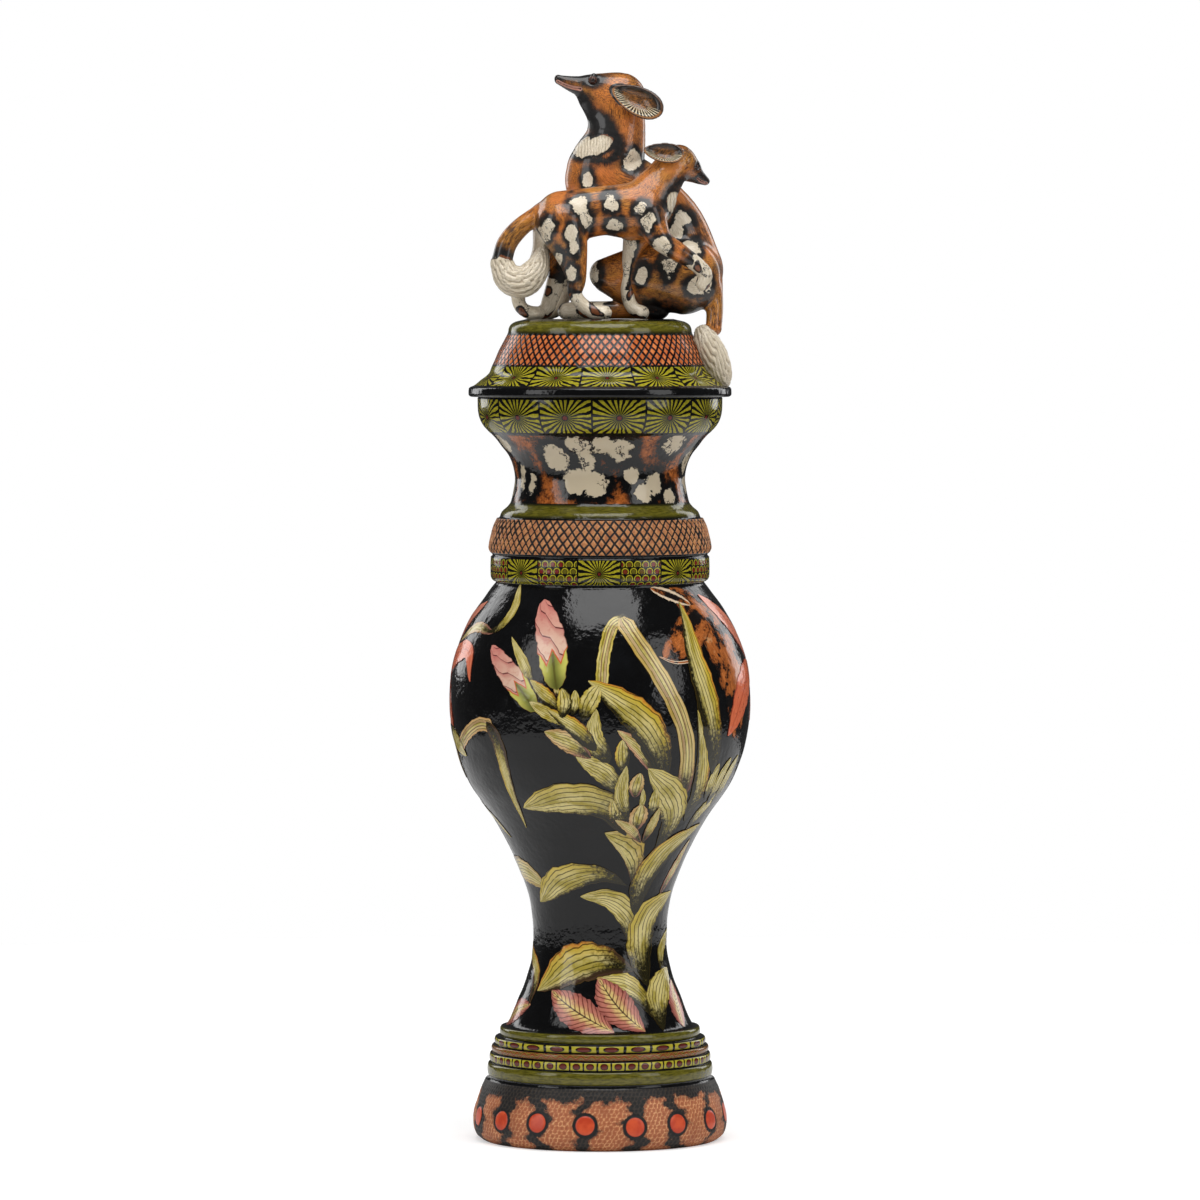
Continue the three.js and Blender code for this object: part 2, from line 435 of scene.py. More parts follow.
def lozenges(paint, u, v, around, rows):
    """Distance from the middle of the nearest lozenge, 0 to 0.5, and where the two diagonals stand."""
    wobble = (paint.noise(paint.vector(u * 40, v * 2, 0), 1.0, 1.0) - 0.5) * 0.5
    first = (u * around + v * rows + wobble).fract() - 0.5
    second = (u * around - v * rows + wobble).fract() - 0.5
    return first.size().most(second.size()), first, second


def hatched_wall():
    """The lid's wall: orange lozenges between fine black lines."""
    paint = Paint("hatched_wall")
    u, v = paint.map("turned")
    out, first, second = lozenges(paint, u, v, LID_LOZENGES, LID_HATCH_ROWS)
    tone = paint.noise(paint.place(), 160, 3.0, 0.6)
    color = paint.mix(tone.ramp(0.35, 0.7), rgb(184, 92, 42), rgb(216, 128, 70))
    # A paler stroke down the middle of each lozenge: a painted highlight.
    highlight_stroke = (first + second).size().ramp(0.04, 0.1, 1.0, 0.0) * out.ramp(0.2, 0.26, 1.0, 0.0)
    color = paint.mix(highlight_stroke * 0.5, color, rgb(214, 142, 92))
    color = paint.mix(out.ramp(0.27, 0.33), color, rgb(158, 70, 34))
    color = paint.mix(out.ramp(0.325, 0.365), color, BLACK)
    color = paint.mix((v - 0.5).size().ramp(0.44, 0.47), color, BLACK)
    return paint.finish(color, 0.13, out.ramp(0.33, 0.46, 1.0, 0.0), 0.0001)


def carved_hatch():
    """The bare ring: carved lozenges of matte terracotta with dark lines between them."""
    paint = Paint("carved_hatch")
    u, v = paint.map("turned")
    out, _, _ = lozenges(paint, u, v, RING_LOZENGES, RING_HATCH_ROWS)
    tone = paint.noise(paint.place(), 300, 3.0, 0.6)
    color = paint.mix(tone.ramp(0.3, 0.75), rgb(162, 98, 54), rgb(208, 148, 92))
    color = paint.mix(out.ramp(0.0, 0.2, 0.5, 0.0), color, rgb(164, 84, 44))
    color = paint.mix(out.ramp(0.33, 0.38), color, rgb(14, 9, 7))
    return paint.finish(color, 0.55, tone, 0.0001)


def ringed_squares(name, count, aspect, frame_width, oval):
    """A bead painted with yellow boxes, each round a dark red oval."""
    paint = Paint(name)
    u, v = paint.map("turned")
    wobble = (paint.noise(paint.vector(u * count, v, 0), 1.3, 1.0) - 0.5) * 0.12
    across = ((u * count + wobble).fract() - 0.5) * aspect
    up = (v - 0.5) * 1.25
    out = ((across / oval).power(2) + (up / 0.3).power(2)).root()
    color = paint.mix(out.ramp(0.75, 0.9), rgb(96, 34, 22), BLACK)
    color = paint.mix(out.ramp(1.0, 1.12), color, rgb(172, 160, 46))
    side = across.size() * (1 / aspect)
    border = side.ramp(0.5 - frame_width, 0.5 - frame_width * 0.6).most(up.size().ramp(0.36, 0.42))
    color = paint.mix(border, color, BLACK)
    return paint.finish(color, 0.13, glaze_waves(paint), 0.0004)


def chevron_ring():
    """A bead painted with a fine red and yellow zigzag."""
    paint = Paint("chevron_ring")
    u, v = paint.map("turned")
    rough = paint.noise(paint.place(), 500, 2.0) - 0.5
    zigzag = ((u * 64).fract() - 0.5).size() * 1.8
    line = ((v * 2.1 + zigzag + rough * 0.3).fract() - 0.5).size()
    color = paint.mix(line.ramp(0.18, 0.24), rgb(112, 28, 20), rgb(178, 142, 58))
    color = paint.mix(line.ramp(0.33, 0.38), color, rgb(34, 24, 12))
    color = paint.mix((v - 0.5).size().ramp(0.36, 0.42), color, BLACK)
    return paint.finish(color, 0.14, glaze_waves(paint), 0.0004)


def squiggles(paint, where, scale):
    """Short branching dark marks, as if the brush had run."""
    line = (paint.noise(where, scale, 4.0, 0.72) - 0.5).size().ramp(0.012, 0.022, 1.0, 0.0)
    return line * paint.noise(where, scale * 0.62, 1.0).ramp(0.53, 0.57)


def patched_neck():
    """Cream patches with black edges on an orange-brown ground, like the dogs' coats."""
    paint = Paint("patched_neck")
    inside, _, _, _ = paint.stored("patch")
    where = paint.place()
    edge = inside - 0.5 + (paint.noise(where, 120, 2.0) - 0.5) * 8
    edge = edge + (paint.noise(where, 330, 4.0, 0.75) - 0.5) * 8
    fine = paint.noise(where, 420, 4.0, 0.7)
    broad = paint.noise(where, 75, 3.0, 0.6)
    ground = paint.mix(fine.ramp(0.35, 0.65), rgb(110, 56, 20), rgb(186, 104, 46))
    ground = paint.mix((broad * 0.8 + fine * 0.4).ramp(0.58, 0.47) * 0.9, ground, rgb(34, 22, 14))
    color = paint.mix((edge + (fine - 0.5) * 14).ramp(-8.6, -4.0), ground, BLACK)
    crack = squiggles(paint, where, 95)
    color = paint.mix(edge.ramp(0.0, 0.3), color, paint.mix(crack, rgb(198, 183, 156), BLACK))
    _, v = paint.map("turned")
    color = paint.mix((v - 0.5).size().ramp(0.485, 0.495), color, BLACK)
    return paint.finish(color, 0.12, glaze_waves(paint) + edge.ramp(-0.2, 0.4) * 0.1, 0.0006)


def stippled_foot():
    """Bare terracotta, dented all over, with sooty branching areas and glazed orange discs."""
    paint = Paint("stippled_foot")
    dent, inside, disc, _ = paint.stored("foot")
    where = paint.place()
    ragged = paint.noise(where, 260, 5.0, 0.78) - 0.5
    broad = paint.noise(where, 60, 2.0, 0.5) - 0.5
    tone = paint.noise(where, 60, 3.0)
    # The clay and the soot are paler on the ridges between dents and darker the deeper in a dent.
    clay = paint.mix(dent.ramp(0.14, 0.4), rgb(214, 156, 106), rgb(176, 102, 62))
    clay = paint.mix(dent.ramp(0.6, 1.0) * 0.6, clay, rgb(142, 70, 38))
    clay = paint.mix(tone.ramp(0.4, 0.7) * 0.5, clay, rgb(142, 74, 42))
    field = inside + broad * 16 + ragged * 11
    soot = paint.mix(dent.ramp(0.16, 0.5), rgb(52, 43, 34), rgb(20, 17, 16))
    color = paint.mix((field + ragged * 6).ramp(-3.0, 0.4) * 0.7, clay, rgb(78, 44, 28))
    color = paint.mix(field.ramp(0.0, 0.7), color, soot)
    color = paint.mix((disc + ragged * 0.25).ramp(-0.42, -0.26), color, rgb(16, 13, 12))
    orange = paint.mix(paint.noise(where, 120, 2.0).ramp(0.35, 0.7), rgb(190, 60, 28), rgb(214, 84, 44))
    color = paint.mix(disc.ramp(-0.02, 0.06), color, orange)
    return paint.finish(color, disc.ramp(0.0, 0.1, 0.5, 0.3), paint.noise(where, 900, 2.0), 0.00012)


def bare_clay():
    """The clay where nothing covers it: the underside and the lid's seat."""
    paint = Paint("bare_clay")
    grain = paint.noise(paint.place(), 700, 4.0, 0.7)
    return paint.finish(paint.mix(grain.ramp(0.3, 0.7), rgb(170, 106, 74), rgb(196, 134, 98)),
                        0.75, grain, 0.0002)


def liner_glaze():
    """The plain brown glaze inside the jar and the lid."""
    paint = Paint("liner_glaze")
    tone = paint.noise(paint.place(), 40, 3.0)
    return paint.finish(paint.mix(tone.ramp(0.3, 0.7), rgb(120, 76, 48), rgb(150, 100, 66)),
                        0.25, glaze_waves(paint), 0.0005)


# ---------------------------------------------------------------- jar

RING_LOZENGES, RING_HATCH_ROWS = 80, 3.0     # carved ring: lozenges round it, and up it
LID_LOZENGES, LID_HATCH_ROWS = 78, 3.3       # lid's wall, the same
FOOT_R = 82
FOOT_DENT = 3.2                              # width of one dent in the foot's stippling
DENT_ROW = 0.87                              # height of a row of dents, against their width
FOOT_DISCS = 16
DISC_R = 6.3
DISC_UP = 19.5                               # along the foot's side, from its lower edge
DISC_TURN = math.radians(5.5)                # how far the first disc stands left of the front
NECK_R = 57
CLEAR = -20.0                                # how deep inside a mark a point is where there is none
# Cream patches on the neck: degrees round the jar, height, half width, half height.
NECK_SPOTS = [(-27, 448, 9, 9), (-12, 457, 8, 6), (3, 457, 7, 6), (14, 453, 7, 8), (-7, 446, 5, 7),
              (-14, 433, 9, 9), (-2, 431, 9, 9), (23, 437, 5.5, 6.5), (31, 425, 7, 7), (40, 431, 6.5, 8),
              (53, 422, 6, 6), (48, 457, 8, 7), (-62, 437, 4, 9), (-51, 430, 4, 10), (-70, 457, 7, 6),
              (75, 446, 6, 9), (83, 430, 8, 7), (-86, 428, 8, 8), (104, 452, 9, 7), (116, 434, 9, 9),
              (139, 446, 7, 10), (150, 427, 9, 7), (172, 450, 9, 8), (-168, 431, 10, 8), (-142, 446, 8, 9),
              (-128, 430, 7, 7), (-108, 450, 9, 8)]
FINE, MIDDLE, COARSE, INSIDE = 640, 320, 160, 80     # facets round a zone


def hashed(*keys):
    """A repeatable scatter of numbers from 0 to 1 for whole-number keys."""
    mixed = sum(np.asarray(k, float) * w for k, w in zip(keys, (127.1, 311.7, 74.7)))
    return np.modf(np.abs(np.sin(mixed) * 43758.5453))[0]


def foot_fields(angle, along, length, radius):
    """For points of the foot: how deep in a dent (0 on the ridge between dents to 1), how far into the
    soot in millimetres, and how far inside a disc (1 at its middle, 0 at its edge)."""
    columns = int(round(2 * math.pi * FOOT_R / FOOT_DENT))
    column = (angle / (2 * math.pi) + 0.5) * columns
    row = along / (FOOT_DENT * DENT_ROW)
    best = np.full(angle.shape, 9.0)
    second = np.full(angle.shape, 9.0)
    for dr in (-1, 0, 1):
        r0 = np.floor(row) + dr
        for dc in (-1, 0, 1):
            c0 = np.floor(column + 0.5 * (r0 % 2)) + dc
            wrapped = c0 % columns
            x = c0 - 0.5 * (r0 % 2) + 0.5 + (hashed(wrapped, r0) - 0.5) * 0.5
            y = r0 + 0.5 + (hashed(wrapped + 17, r0) - 0.5) * 0.5
            reach = np.hypot(column - x, (row - y) * DENT_ROW)
            second = np.minimum(second, np.maximum(best, reach))
            best = np.minimum(best, reach)
    dent = np.clip((second - best) * 1.5, 0, 1)
    pitch = 2 * math.pi / FOOT_DISCS
    turn = angle + DISC_TURN
    nearest = np.round(turn / pitch)
    number = nearest % FOOT_DISCS
    across = (turn - nearest * pitch) * radius + (hashed(number, 3) - 0.5) * 3.0
    up = along - DISC_UP - (hashed(number, 5) - 0.5) * 3.0
    disc = 1 - np.hypot(across, up) / DISC_R
    wander = 3.4 * np.sin(along * 0.27 + number * 2.4) + 1.6 * np.sin(along * 0.71 + number * 5.1)
    branch = 3.0 + 5.0 * hashed(number, 9) - np.abs(across + wander)
    return dent, np.maximum(branch, along + 7.5 - length), disc


def foot_relief(angle, along, length, radius):
    """Dents all over, and smooth discs that stand out from a groove."""
    dent, _, disc = foot_fields(angle, along, length, radius)
    flat = np.clip(disc * 9 + 1.0, 0, 1)
    fade = np.clip(along / 2.0, 0, 1) * np.clip((length - along) / 1.5, 0, 1)
    groove = np.exp(-((disc + 0.08) / 0.1) ** 2)
    return (-0.5 * dent * (1 - flat) + 0.25 * flat - 0.45 * groove) * fade


def carved_relief(angle, along, length, radius):
    """Lozenges left standing between carved diagonal lines."""
    v = along / length
    u = angle / (2 * math.pi) + 0.5
    first = np.abs(np.modf(u * RING_LOZENGES + v * RING_HATCH_ROWS + 9)[0] - 0.5)
    second = np.abs(np.modf(u * RING_LOZENGES - v * RING_HATCH_ROWS + 9)[0] - 0.5)
    out = np.maximum(first, second)
    fade = np.clip(along / 1.2, 0, 1) * np.clip((length - along) / 1.2, 0, 1)
    return -0.8 * np.clip((out - 0.3) / 0.14, 0, 1) * fade


def turning_marks(angle, along, length, radius):
    """The faint unevenness that a thrower's hands leave on a large form."""
    return -0.18 + 0.12 * np.sin(along * 0.31 + 0.6 * np.sin(angle)) * np.sin(angle + along * 0.011)


BODY_OUTLINE = smooth([[62, 74.6], [60, 77], [54, 92], [48.8, 105], [45.2, 118], [43.9, 131], [46.2, 157],
                       [55.3, 183], [69.4, 210], [86.8, 236], [96, 262], [BELLY_R, 287], [97.2, 308],
                       [94, 321], [85.8, 341], [73, 360], [68.1, 366.2]], 110)
FOOT_OUTLINE = smooth([[77, 0], [81.5, 4], [83.4, 11], [82.6, 19], [80.4, 27], [78, 34], [75.2, 40]], 44)
BEADS = [(42, 50.9, 74, "olive"), (51.4, 57.4, 72.7, "squares"), (57.8, 62.3, 71.4, "chevrons"),
         (62.6, 67.7, 69.4, "ovals"), (68, 74.5, 65.8, "olive")]      # low, high, radius, finish


def jar_zones(paints):
    """The jar's outline from the middle of its underside, up its outside and down its inside."""
    zones = [Zone([[12, 0], [40, 0], [70, 0], [76.4, 0], [77, 0.3]], COARSE, paints["bare"]),
             Zone(FOOT_OUTLINE, FINE, paints["foot"], foot_relief)]
    end = FOOT_OUTLINE[-1]
    for low, high, radius, finish in BEADS:
        zones.append(Zone([end, [radius - 2.1, low]], MIDDLE, paints["black"]))
        zones.append(Zone(bead(low, high, radius, 2.0), MIDDLE, paints[finish]))
        end = zones[-1].outline[-1]
    zones += [
        Zone([end, BODY_OUTLINE[0]], COARSE, paints["black"]),
        Zone(BODY_OUTLINE, COARSE, paints["black"], turning_marks),
        Zone(smooth([BODY_OUTLINE[-1], [69.6, 366.8], [71.3, 368.6], [71.8, 375], [71.6, 382.6]], 12),
             MIDDLE, paints["scaled_band"]),
        Zone(smooth([[71.6, 382.6], [70.3, 384], [72, 385.6]], 5), MIDDLE, paints["black"]),
        Zone(smooth([[72, 385.6], [73.1, 388], [72.8, 391.5], [71.7, 396.5], [69.9, 403],
                     [67.6, 407.8]], 32), FINE, paints["carved_hatch"], carved_relief),
        Zone([[67.6, 407.8], [66, 408.2], [65.6, 409]], MIDDLE, paints["black"]),
        Zone(smooth([[65.6, 409], [64.2, 412.2], [60.6, 415.4], [58.6, 418]], 8), MIDDLE,
             paints["olive"]),
        Zone(smooth([[58.6, 418], [58.1, 419.5], [56.7, 426], [55.7, 434], [57, 442], [59.9, 449],
                     [64.5, 455], [67.6, 459.2], [71, 462.9]], 30), MIDDLE, paints["neck"]),
        Zone(smooth([[71, 462.9], [71.8, 463.5], [72.6, 464.2]], 4), MIDDLE, paints["black"]),
        Zone(smooth([[72.6, 464.2], [76.4, 468.4], [78.8, 473], [79.9, 478], [80.2, RIM_Z - 0.7]], 16),
             MIDDLE, paints["rayed_band"]),
        Zone(smooth([[80.2, RIM_Z - 0.7], [79.9, RIM_Z], [77.5, RIM_Z], [74.8, RIM_Z],
                     [74.3, RIM_Z - 1]], 8), COARSE, paints["black"]),
        Zone(smooth([[74.3, RIM_Z - 1], [73.6, 474], [62, 460], [53, 449], [49, 434], [51.5, 418],
                     [60, 404], [64, 385], [62, 368], [79, 339], [88, 320], [92.5, 287], [89.5, 262],
                     [80, 236], [62, 208], [48, 181], [39, 156], [37, 131], [42, 105], [54, 76],
                     [64, 50], [68, 30], [60, 12.4], [24, 12]], 70), INSIDE, paints["liner"]),
    ]
    return zones


def neck_field(angle, height):
    """How far inside a cream patch of the neck each point is, in millimetres."""
    patch = np.full(angle.shape, CLEAR)
    for spot_angle, middle, wide, tall in NECK_SPOTS:
        turn = (angle - math.radians(spot_angle) + math.pi) % (2 * math.pi) - math.pi
        reach = np.hypot(turn * NECK_R / wide, (height - middle) / tall)
        patch = np.maximum(patch, (1 - reach) * min(wide, tall))
    return patch


def store_marks(jar):
    """Stores the foot's dents, soot and discs and the neck's patches with the jar's points, for their
    finishes to read."""
    points = np.empty(len(jar.data.vertices) * 3, np.float32)
    jar.data.vertices.foreach_get("co", points)
    points = points.reshape(-1, 3) / MM
    angle = np.arctan2(points[:, 0], -points[:, 1])
    steps = np.linalg.norm(np.diff(FOOT_OUTLINE, axis=0), axis=1)
    lengths = np.concatenate([[0.0], np.cumsum(steps)])
    along = np.interp(points[:, 2], FOOT_OUTLINE[:, 1], lengths)
    radius = np.interp(points[:, 2], FOOT_OUTLINE[:, 1], FOOT_OUTLINE[:, 0])
    store_vectors(jar, "foot", np.stack(foot_fields(angle, along, lengths[-1], radius), axis=-1))
    patch = neck_field(angle, points[:, 2])
    store_vectors(jar, "patch", np.repeat(patch[:, None], 3, axis=1))


def store_vectors(piece, name, rows):
    """Stores three numbers with each point of a piece, for its finish to read."""
    layer = piece.data.attributes.new(name, "FLOAT_VECTOR", "POINT")
    layer.data.foreach_set("vector", np.asarray(rows, np.float32).ravel())


def make_jar(paints):
    jar = turned("jar_body", jar_zones(paints), list(dict.fromkeys(paints.values())))
    store_marks(jar)
    return jar


# ---------------------------------------------------------------- painting on the belly

# Each painted shape follows a line of (degrees round the jar, height) from its root to its tip. These
# lines were read off the photo, converted to degrees and heights, and adjusted. A row
# is its kind, layer, width to the left and right of that line, how far along it is widest, warm edge
# (-1 left, 1 right), pinkness and line.
PLANTS = [
    ("leaf", 4, 9.5, 9.5, 0.42, 1.0, 0.0, [(55, 243), (47, 288), (42, 322), (43, 355)]),
    ("blade", 1, 6.0, 6.0, 0.5, 0.0, 0.3, [(41, 229), (36, 270), (26, 305), (11, 346)]),
    ("blade", 0, 4.2, 4.2, 0.5, 0.0, 0.0, [(14, 346), (7, 341), (3, 322), (2, 302)]),
    ("leaf", 2, 10.0, 12.5, 0.45, 1.0, 0.0, [(29, 240), (19, 275), (8, 293), (-3, 306)]),
    ("leaf", 1, 4.0, 5.5, 0.5, 0.0, 0.9, [(23, 246), (16, 262), (8, 274)]),
    ("leaf", 3, 5.5, 8.0, 0.4, 1.0, 0.0, [(52, 212), (48, 241), (45, 263), (41, 286)]),
    ("leaf", 3, 10.5, 11.0, 0.55, 0.5, 0.0, [(38, 193), (42, 213), (34, 231), (21, 249)]),
    ("leaf", 3, 11.0, 14.0, 0.5, 0.6, 0.0, [(16, 204), (4, 223), (-13, 228), (-38, 222)]),
    ("leaf", 1, 6.5, 7.5, 0.5, 0.3, 0.0, [(10, 232), (2, 247), (-8, 257)]),
    ("leaf", 2, 6.0, 7.0, 0.4, 0.3, 0.0, [(5, 253), (-1, 268), (0, 288)]),
    ("leaf", 1, 7.0, 6.5, 0.5, 0.0, 0.6, [(-2, 256), (-11, 267), (-20, 273)]),
    ("leaf", 3, 5.5, 5.5, 0.4, 1.0, 0.0, [(0, 261), (-9, 277), (-19, 288)]),
    ("leaf", 2, 4.0, 5.5, 0.5, 1.0, 0.0, [(-13, 286), (-20, 296), (-26, 306)]),
    ("leaf", 2, 4.0, 4.0, 0.6, 0.0, 0.0, [(-9, 275), (-18, 284), (-26, 292)]),
    ("leaf", 1, 3.6, 4.0, 0.4, 0.3, 0.0, [(-25, 297), (-29, 314), (-38, 333)]),
    ("leaf", 4, 5.0, 4.4, 0.5, -0.3, 0.0, [(16, 214), (11, 231), (12, 251)]),
    ("leaf", 3, 2.0, 2.0, 0.5, 0.0, 0.0, [(21, 220), (21, 228), (20, 236)]),
    ("leaf", 5, 4.0, 3.0, 0.5, 0.0, 0.5, [(26, 199), (18, 209), (9, 215)]),
    ("leaf", 5, 3.0, 3.6, 0.5, 0.0, 0.3, [(27, 199), (30, 212), (31, 223)]),
    ("leaf", 2, 2.5, 14.0, 0.62, 0.4, 0.2, [(26, 170), (18, 190), (4, 206)]),
    ("leaf", 4, 9.0, 8.5, 0.45, -0.9, 0.0, [(31, 150), (34, 172), (47, 193), (73, 209)]),
    ("leaf", 1, 4.5, 4.0, 0.5, 0.0, 0.8, [(56, 163), (66, 181), (70, 199)]),
    ("bud", 4, 5.0, 5.0, 0.5, -0.8, 0.0, [(-13, 282), (-12, 292), (-13, 301)]),
    ("bud", 3, 3.2, 3.2, 0.5, 0.0, 0.0, [(-9, 284), (-8, 292), (-8, 300)]),
    ("bud", 4, 6.2, 6.2, 0.55, 0.0, 0.0, [(-5, 280), (-3, 291), (1, 303)]),
    ("bud", 3, 4.8, 4.8, 0.5, -0.9, 0.0, [(11, 247), (10, 257), (10, 268)]),
    ("bud", 3, 5.0, 5.0, 0.5, 0.0, 0.5, [(17, 230), (17, 238), (18, 246)]),
    ("bud", 3, 4.6, 4.6, 0.5, 0.0, 0.2, [(10, 211), (9, 219), (7, 228)]),
    ("bud", 4, 6.6, 6.6, 0.55, 0.0, 0.6, [(21, 207), (21, 216), (21, 225)]),
    ("bud", 3, 3.6, 3.6, 0.5, 0.0, 0.0, [(28, 218), (27, 226), (26, 235)]),
    ("bloom", 3, 10.0, 10.0, 0.45, 0.0, 0.0, [(-15, 300), (-19, 331), (-27, 357)]),
    ("bloom", 2, 8.0, 8.0, 0.42, 0.0, 0.0, [(-23, 286), (-33, 305), (-48, 327)]),
    ("bud", 1, 1.9, 1.9, 0.5, 0.0, 0.3, [(-15, 296), (-15, 299), (-16, 303)]),
    ("blade", 1, 4.6, 4.6, 0.5, 0.0, 0.6, [(-71, 259), (-60, 270), (-51, 276), (-44, 275)]),
    ("leaf", 2, 4.8, 4.6, 0.25, 0.8, 0.1, [(-47, 278), (-42, 265), (-41, 240), (-43, 208)]),
    ("leaf", 1, 3.2, 3.6, 0.5, 0.0, 0.0, [(-54, 335), (-47, 339), (-43, 351), (-48, 367)]),
    ("leaf", 0, 4.0, 3.6, 0.4, 0.0, 0.6, [(-50, 335), (-65, 338), (-81, 328)]),
    ("leaf", 3, 6.5, 7.0, 0.5, 0.5, 0.0, [(-85, 273), (-75, 264), (-66, 254)]),
    ("blade", 1, 2.0, 2.0, 0.5, 0.0, 0.5, [(-79, 260), (-82, 249), (-88, 238)]),
    ("leaf", 1, 2.4, 2.4, 0.5, 0.9, 0.0, [(-92, 224), (-76, 213), (-64, 200)]),
    ("leaf", 2, 8.0, 11.0, 0.6, 0.7, 0.0, [(22, 170), (2, 177), (-25, 173), (-55, 158)]),
    ("leaf", 1, 9.0, 9.0, 0.5, 0.4, 0.3, [(-98, 180), (-66, 178), (-43, 168)]),
    ("leaf", 2, 6.0, 9.5, 0.45, 0.3, 0.0, [(30, 128), (25, 147), (9, 160), (-14, 163)]),
    ("leaf", 3, 11.0, 10.0, 0.45, -0.7, 0.0, [(40, 104), (38, 128), (45, 149), (76, 164)]),
    ("leaf", 2, 11.0, 16.0, 0.55, 1.0, 0.1, [(30, 114), (4, 119), (-24, 115), (-52, 100)]),
    ("leaf", 1, 7.0, 7.0, 0.55, 0.6, 0.0, [(40, 83), (31, 99), (18, 108), (-2, 110)]),
    ("leaf", 3, 10.0, 9.0, 0.5, -0.4, 0.0, [(44, 75.5), (47, 95), (72, 114)]),
    ("leaf", 1, 4.0, 5.0, 0.5, 1.0, 0.2, [(-57, 90), (-61, 110), (-94, 130)]),
    ("leaf", 1, 4.5, 4.0, 0.5, 0.0, 0.0, [(62, 110), (66, 125), (86, 139)]),
    ("feather", 2, 11.0, 11.0, 0.5, 0.0, 1.0, [(10, 75.5), (-10, 86), (-37, 101)]),
    ("feather", 3, 11.5, 11.5, 0.5, 0.0, 1.0, [(30, 75.5), (15, 90), (0, 110)]),
    ("feather", 1, 9.0, 9.0, 0.45, 0.0, 1.0, [(66, 76), (68, 91), (74, 106)]),
    ("feather", 1, 8.0, 8.0, 0.45, 0.0, 1.0, [(-90, 76), (-73, 86), (-55, 91)]),
    ("bud", 2, 4.4, 4.4, 0.5, 0.0, 0.0, [(59, 226), (57, 238), (58, 250)]),
    ("bud", 3, 4.6, 4.6, 0.5, 0.2, 0.0, [(64, 222), (63, 240), (67, 253)]),
    ("bud", 2, 4.6, 4.6, 0.5, 0.0, 0.0, [(69, 222), (70, 240), (75, 254)]),
    ("leaf", 1, 5.2, 5.2, 0.5, 0.0, 0.0, [(58, 205), (64, 220), (73, 234)]),
    ("hide", 0, 19.0, 17.0, 0.5, 0.0, 0.0, [(41, 364), (53, 348), (60, 325), (65, 296), (68, 264)]),
    ("hide", 1, 12.0, 12.0, 0.4, 0.0, 0.0, [(55, 345), (43, 336), (27, 320)]),
    ("hide", 2, 4.5, 5.5, 0.5, 0.0, 1.0, [(50, 353), (41, 358), (29, 364)]),
    ("hide", 2, 1.1, 1.1, 0.5, 0.0, 1.0, [(25, 321), (32, 317), (46, 319)]),
    ("petal", 3, 8.5, 8.5, 0.4, 0.0, 0.2, [(-104, 298), (-82, 317), (-64, 322), (-58, 303)]),
    ("petal", 1, 7.5, 7.5, 0.5, 0.0, 0.9, [(-98, 318), (-86, 338), (-70, 354)]),
    ("petal", 2, 7.0, 7.0, 0.5, 0.0, 0.5, [(-98, 306), (-86, 290), (-77, 270)]),
    ("petal", 3, 12.0, 12.0, 0.45, 0.0, 0.0, [(90, 314), (74, 298), (60, 268)]),
    ("petal", 2, 8.0, 8.0, 0.5, 0.0, 0.7, [(90, 316), (77, 340), (61, 359)]),
]
PETALS = [(-62, 44), (-33, 4), (-20, -36), (24, 40), (34, 2), (20, -38)]    # tips round a lily's heart
LILIES = [(-108, 304, -1), (108, 312, 1)]
FRONT_EDGE = 82                    # degrees; a lily's petals that reach round to the front are left out
MIRRORED_EDGE = 62                 # degrees; plants within this of the front grow on the back too
LAYER_T = 0.09                     # each layer of paint stands this far over the one below
PAINT_BASE = 0.05                  # height of the lowest layer's top over the glaze
PAINT_T = 0.37                     # from a layer's top to its hidden underside, inside the wall
SHAPE_STEPS, SHAPE_LANES = 26, 6   # a painted shape's faces along it and across it
# How bluntly each kind of shape ends: the lower, the blunter.
SHAPE_FALL = {"leaf": 0.75, "petal": 0.75, "bud": 0.6, "bloom": 0.5, "hide": 0.5, "feather": 0.8}


def body_surface(angle, height, lift):
    """Points on the belly at the angles and heights, standing lift out from it."""
    z = BODY_OUTLINE[:, 1]
    slope = np.gradient(BODY_OUTLINE[:, 0], z)
    lean = np.interp(height, z, slope)
    scale = lift / np.hypot(1, lean)
    radius = np.interp(height, z, BODY_OUTLINE[:, 0]) + scale
    return np.stack([radius * np.sin(angle), -radius * np.cos(angle), height - lean * scale], axis=-1)


def shape_width(kind, widest, t):
    """A painted shape's width at t along its line, as a share of its full width."""
    if kind == "blade":
        return np.clip(np.minimum(t, 1 - t) * 40, 0.35, 1)
    swell = np.sin(math.pi * t ** (math.log(0.5) / math.log(widest)))
    return np.maximum(np.maximum(swell, 0) ** SHAPE_FALL[kind], 0.03)


def closed_sheet(top, under):
    """The points and faces of a thin closed sheet, from the rows of points of its two sides."""
    n, m = top.shape[:2]
    index = np.arange(n * m).reshape(n, m)
    faces = []
    for grid, flip in ((index, False), (index + n * m, True)):
        quads = np.stack([grid[:-1, :-1], grid[:-1, 1:], grid[1:, 1:], grid[1:, :-1]], axis=-1)
        quads = quads.reshape(-1, 4)
        faces += (quads[:, ::-1] if flip else quads).tolist()
    rim = np.concatenate([index[0, :-1], index[:-1, -1], index[-1, :0:-1], index[:0:-1, 0]])
    for a, b in zip(rim, np.roll(rim, -1)):
        faces.append([a, a + n * m, b + n * m, b])
    return np.concatenate([top.reshape(-1, 3), under.reshape(-1, 3)]), faces


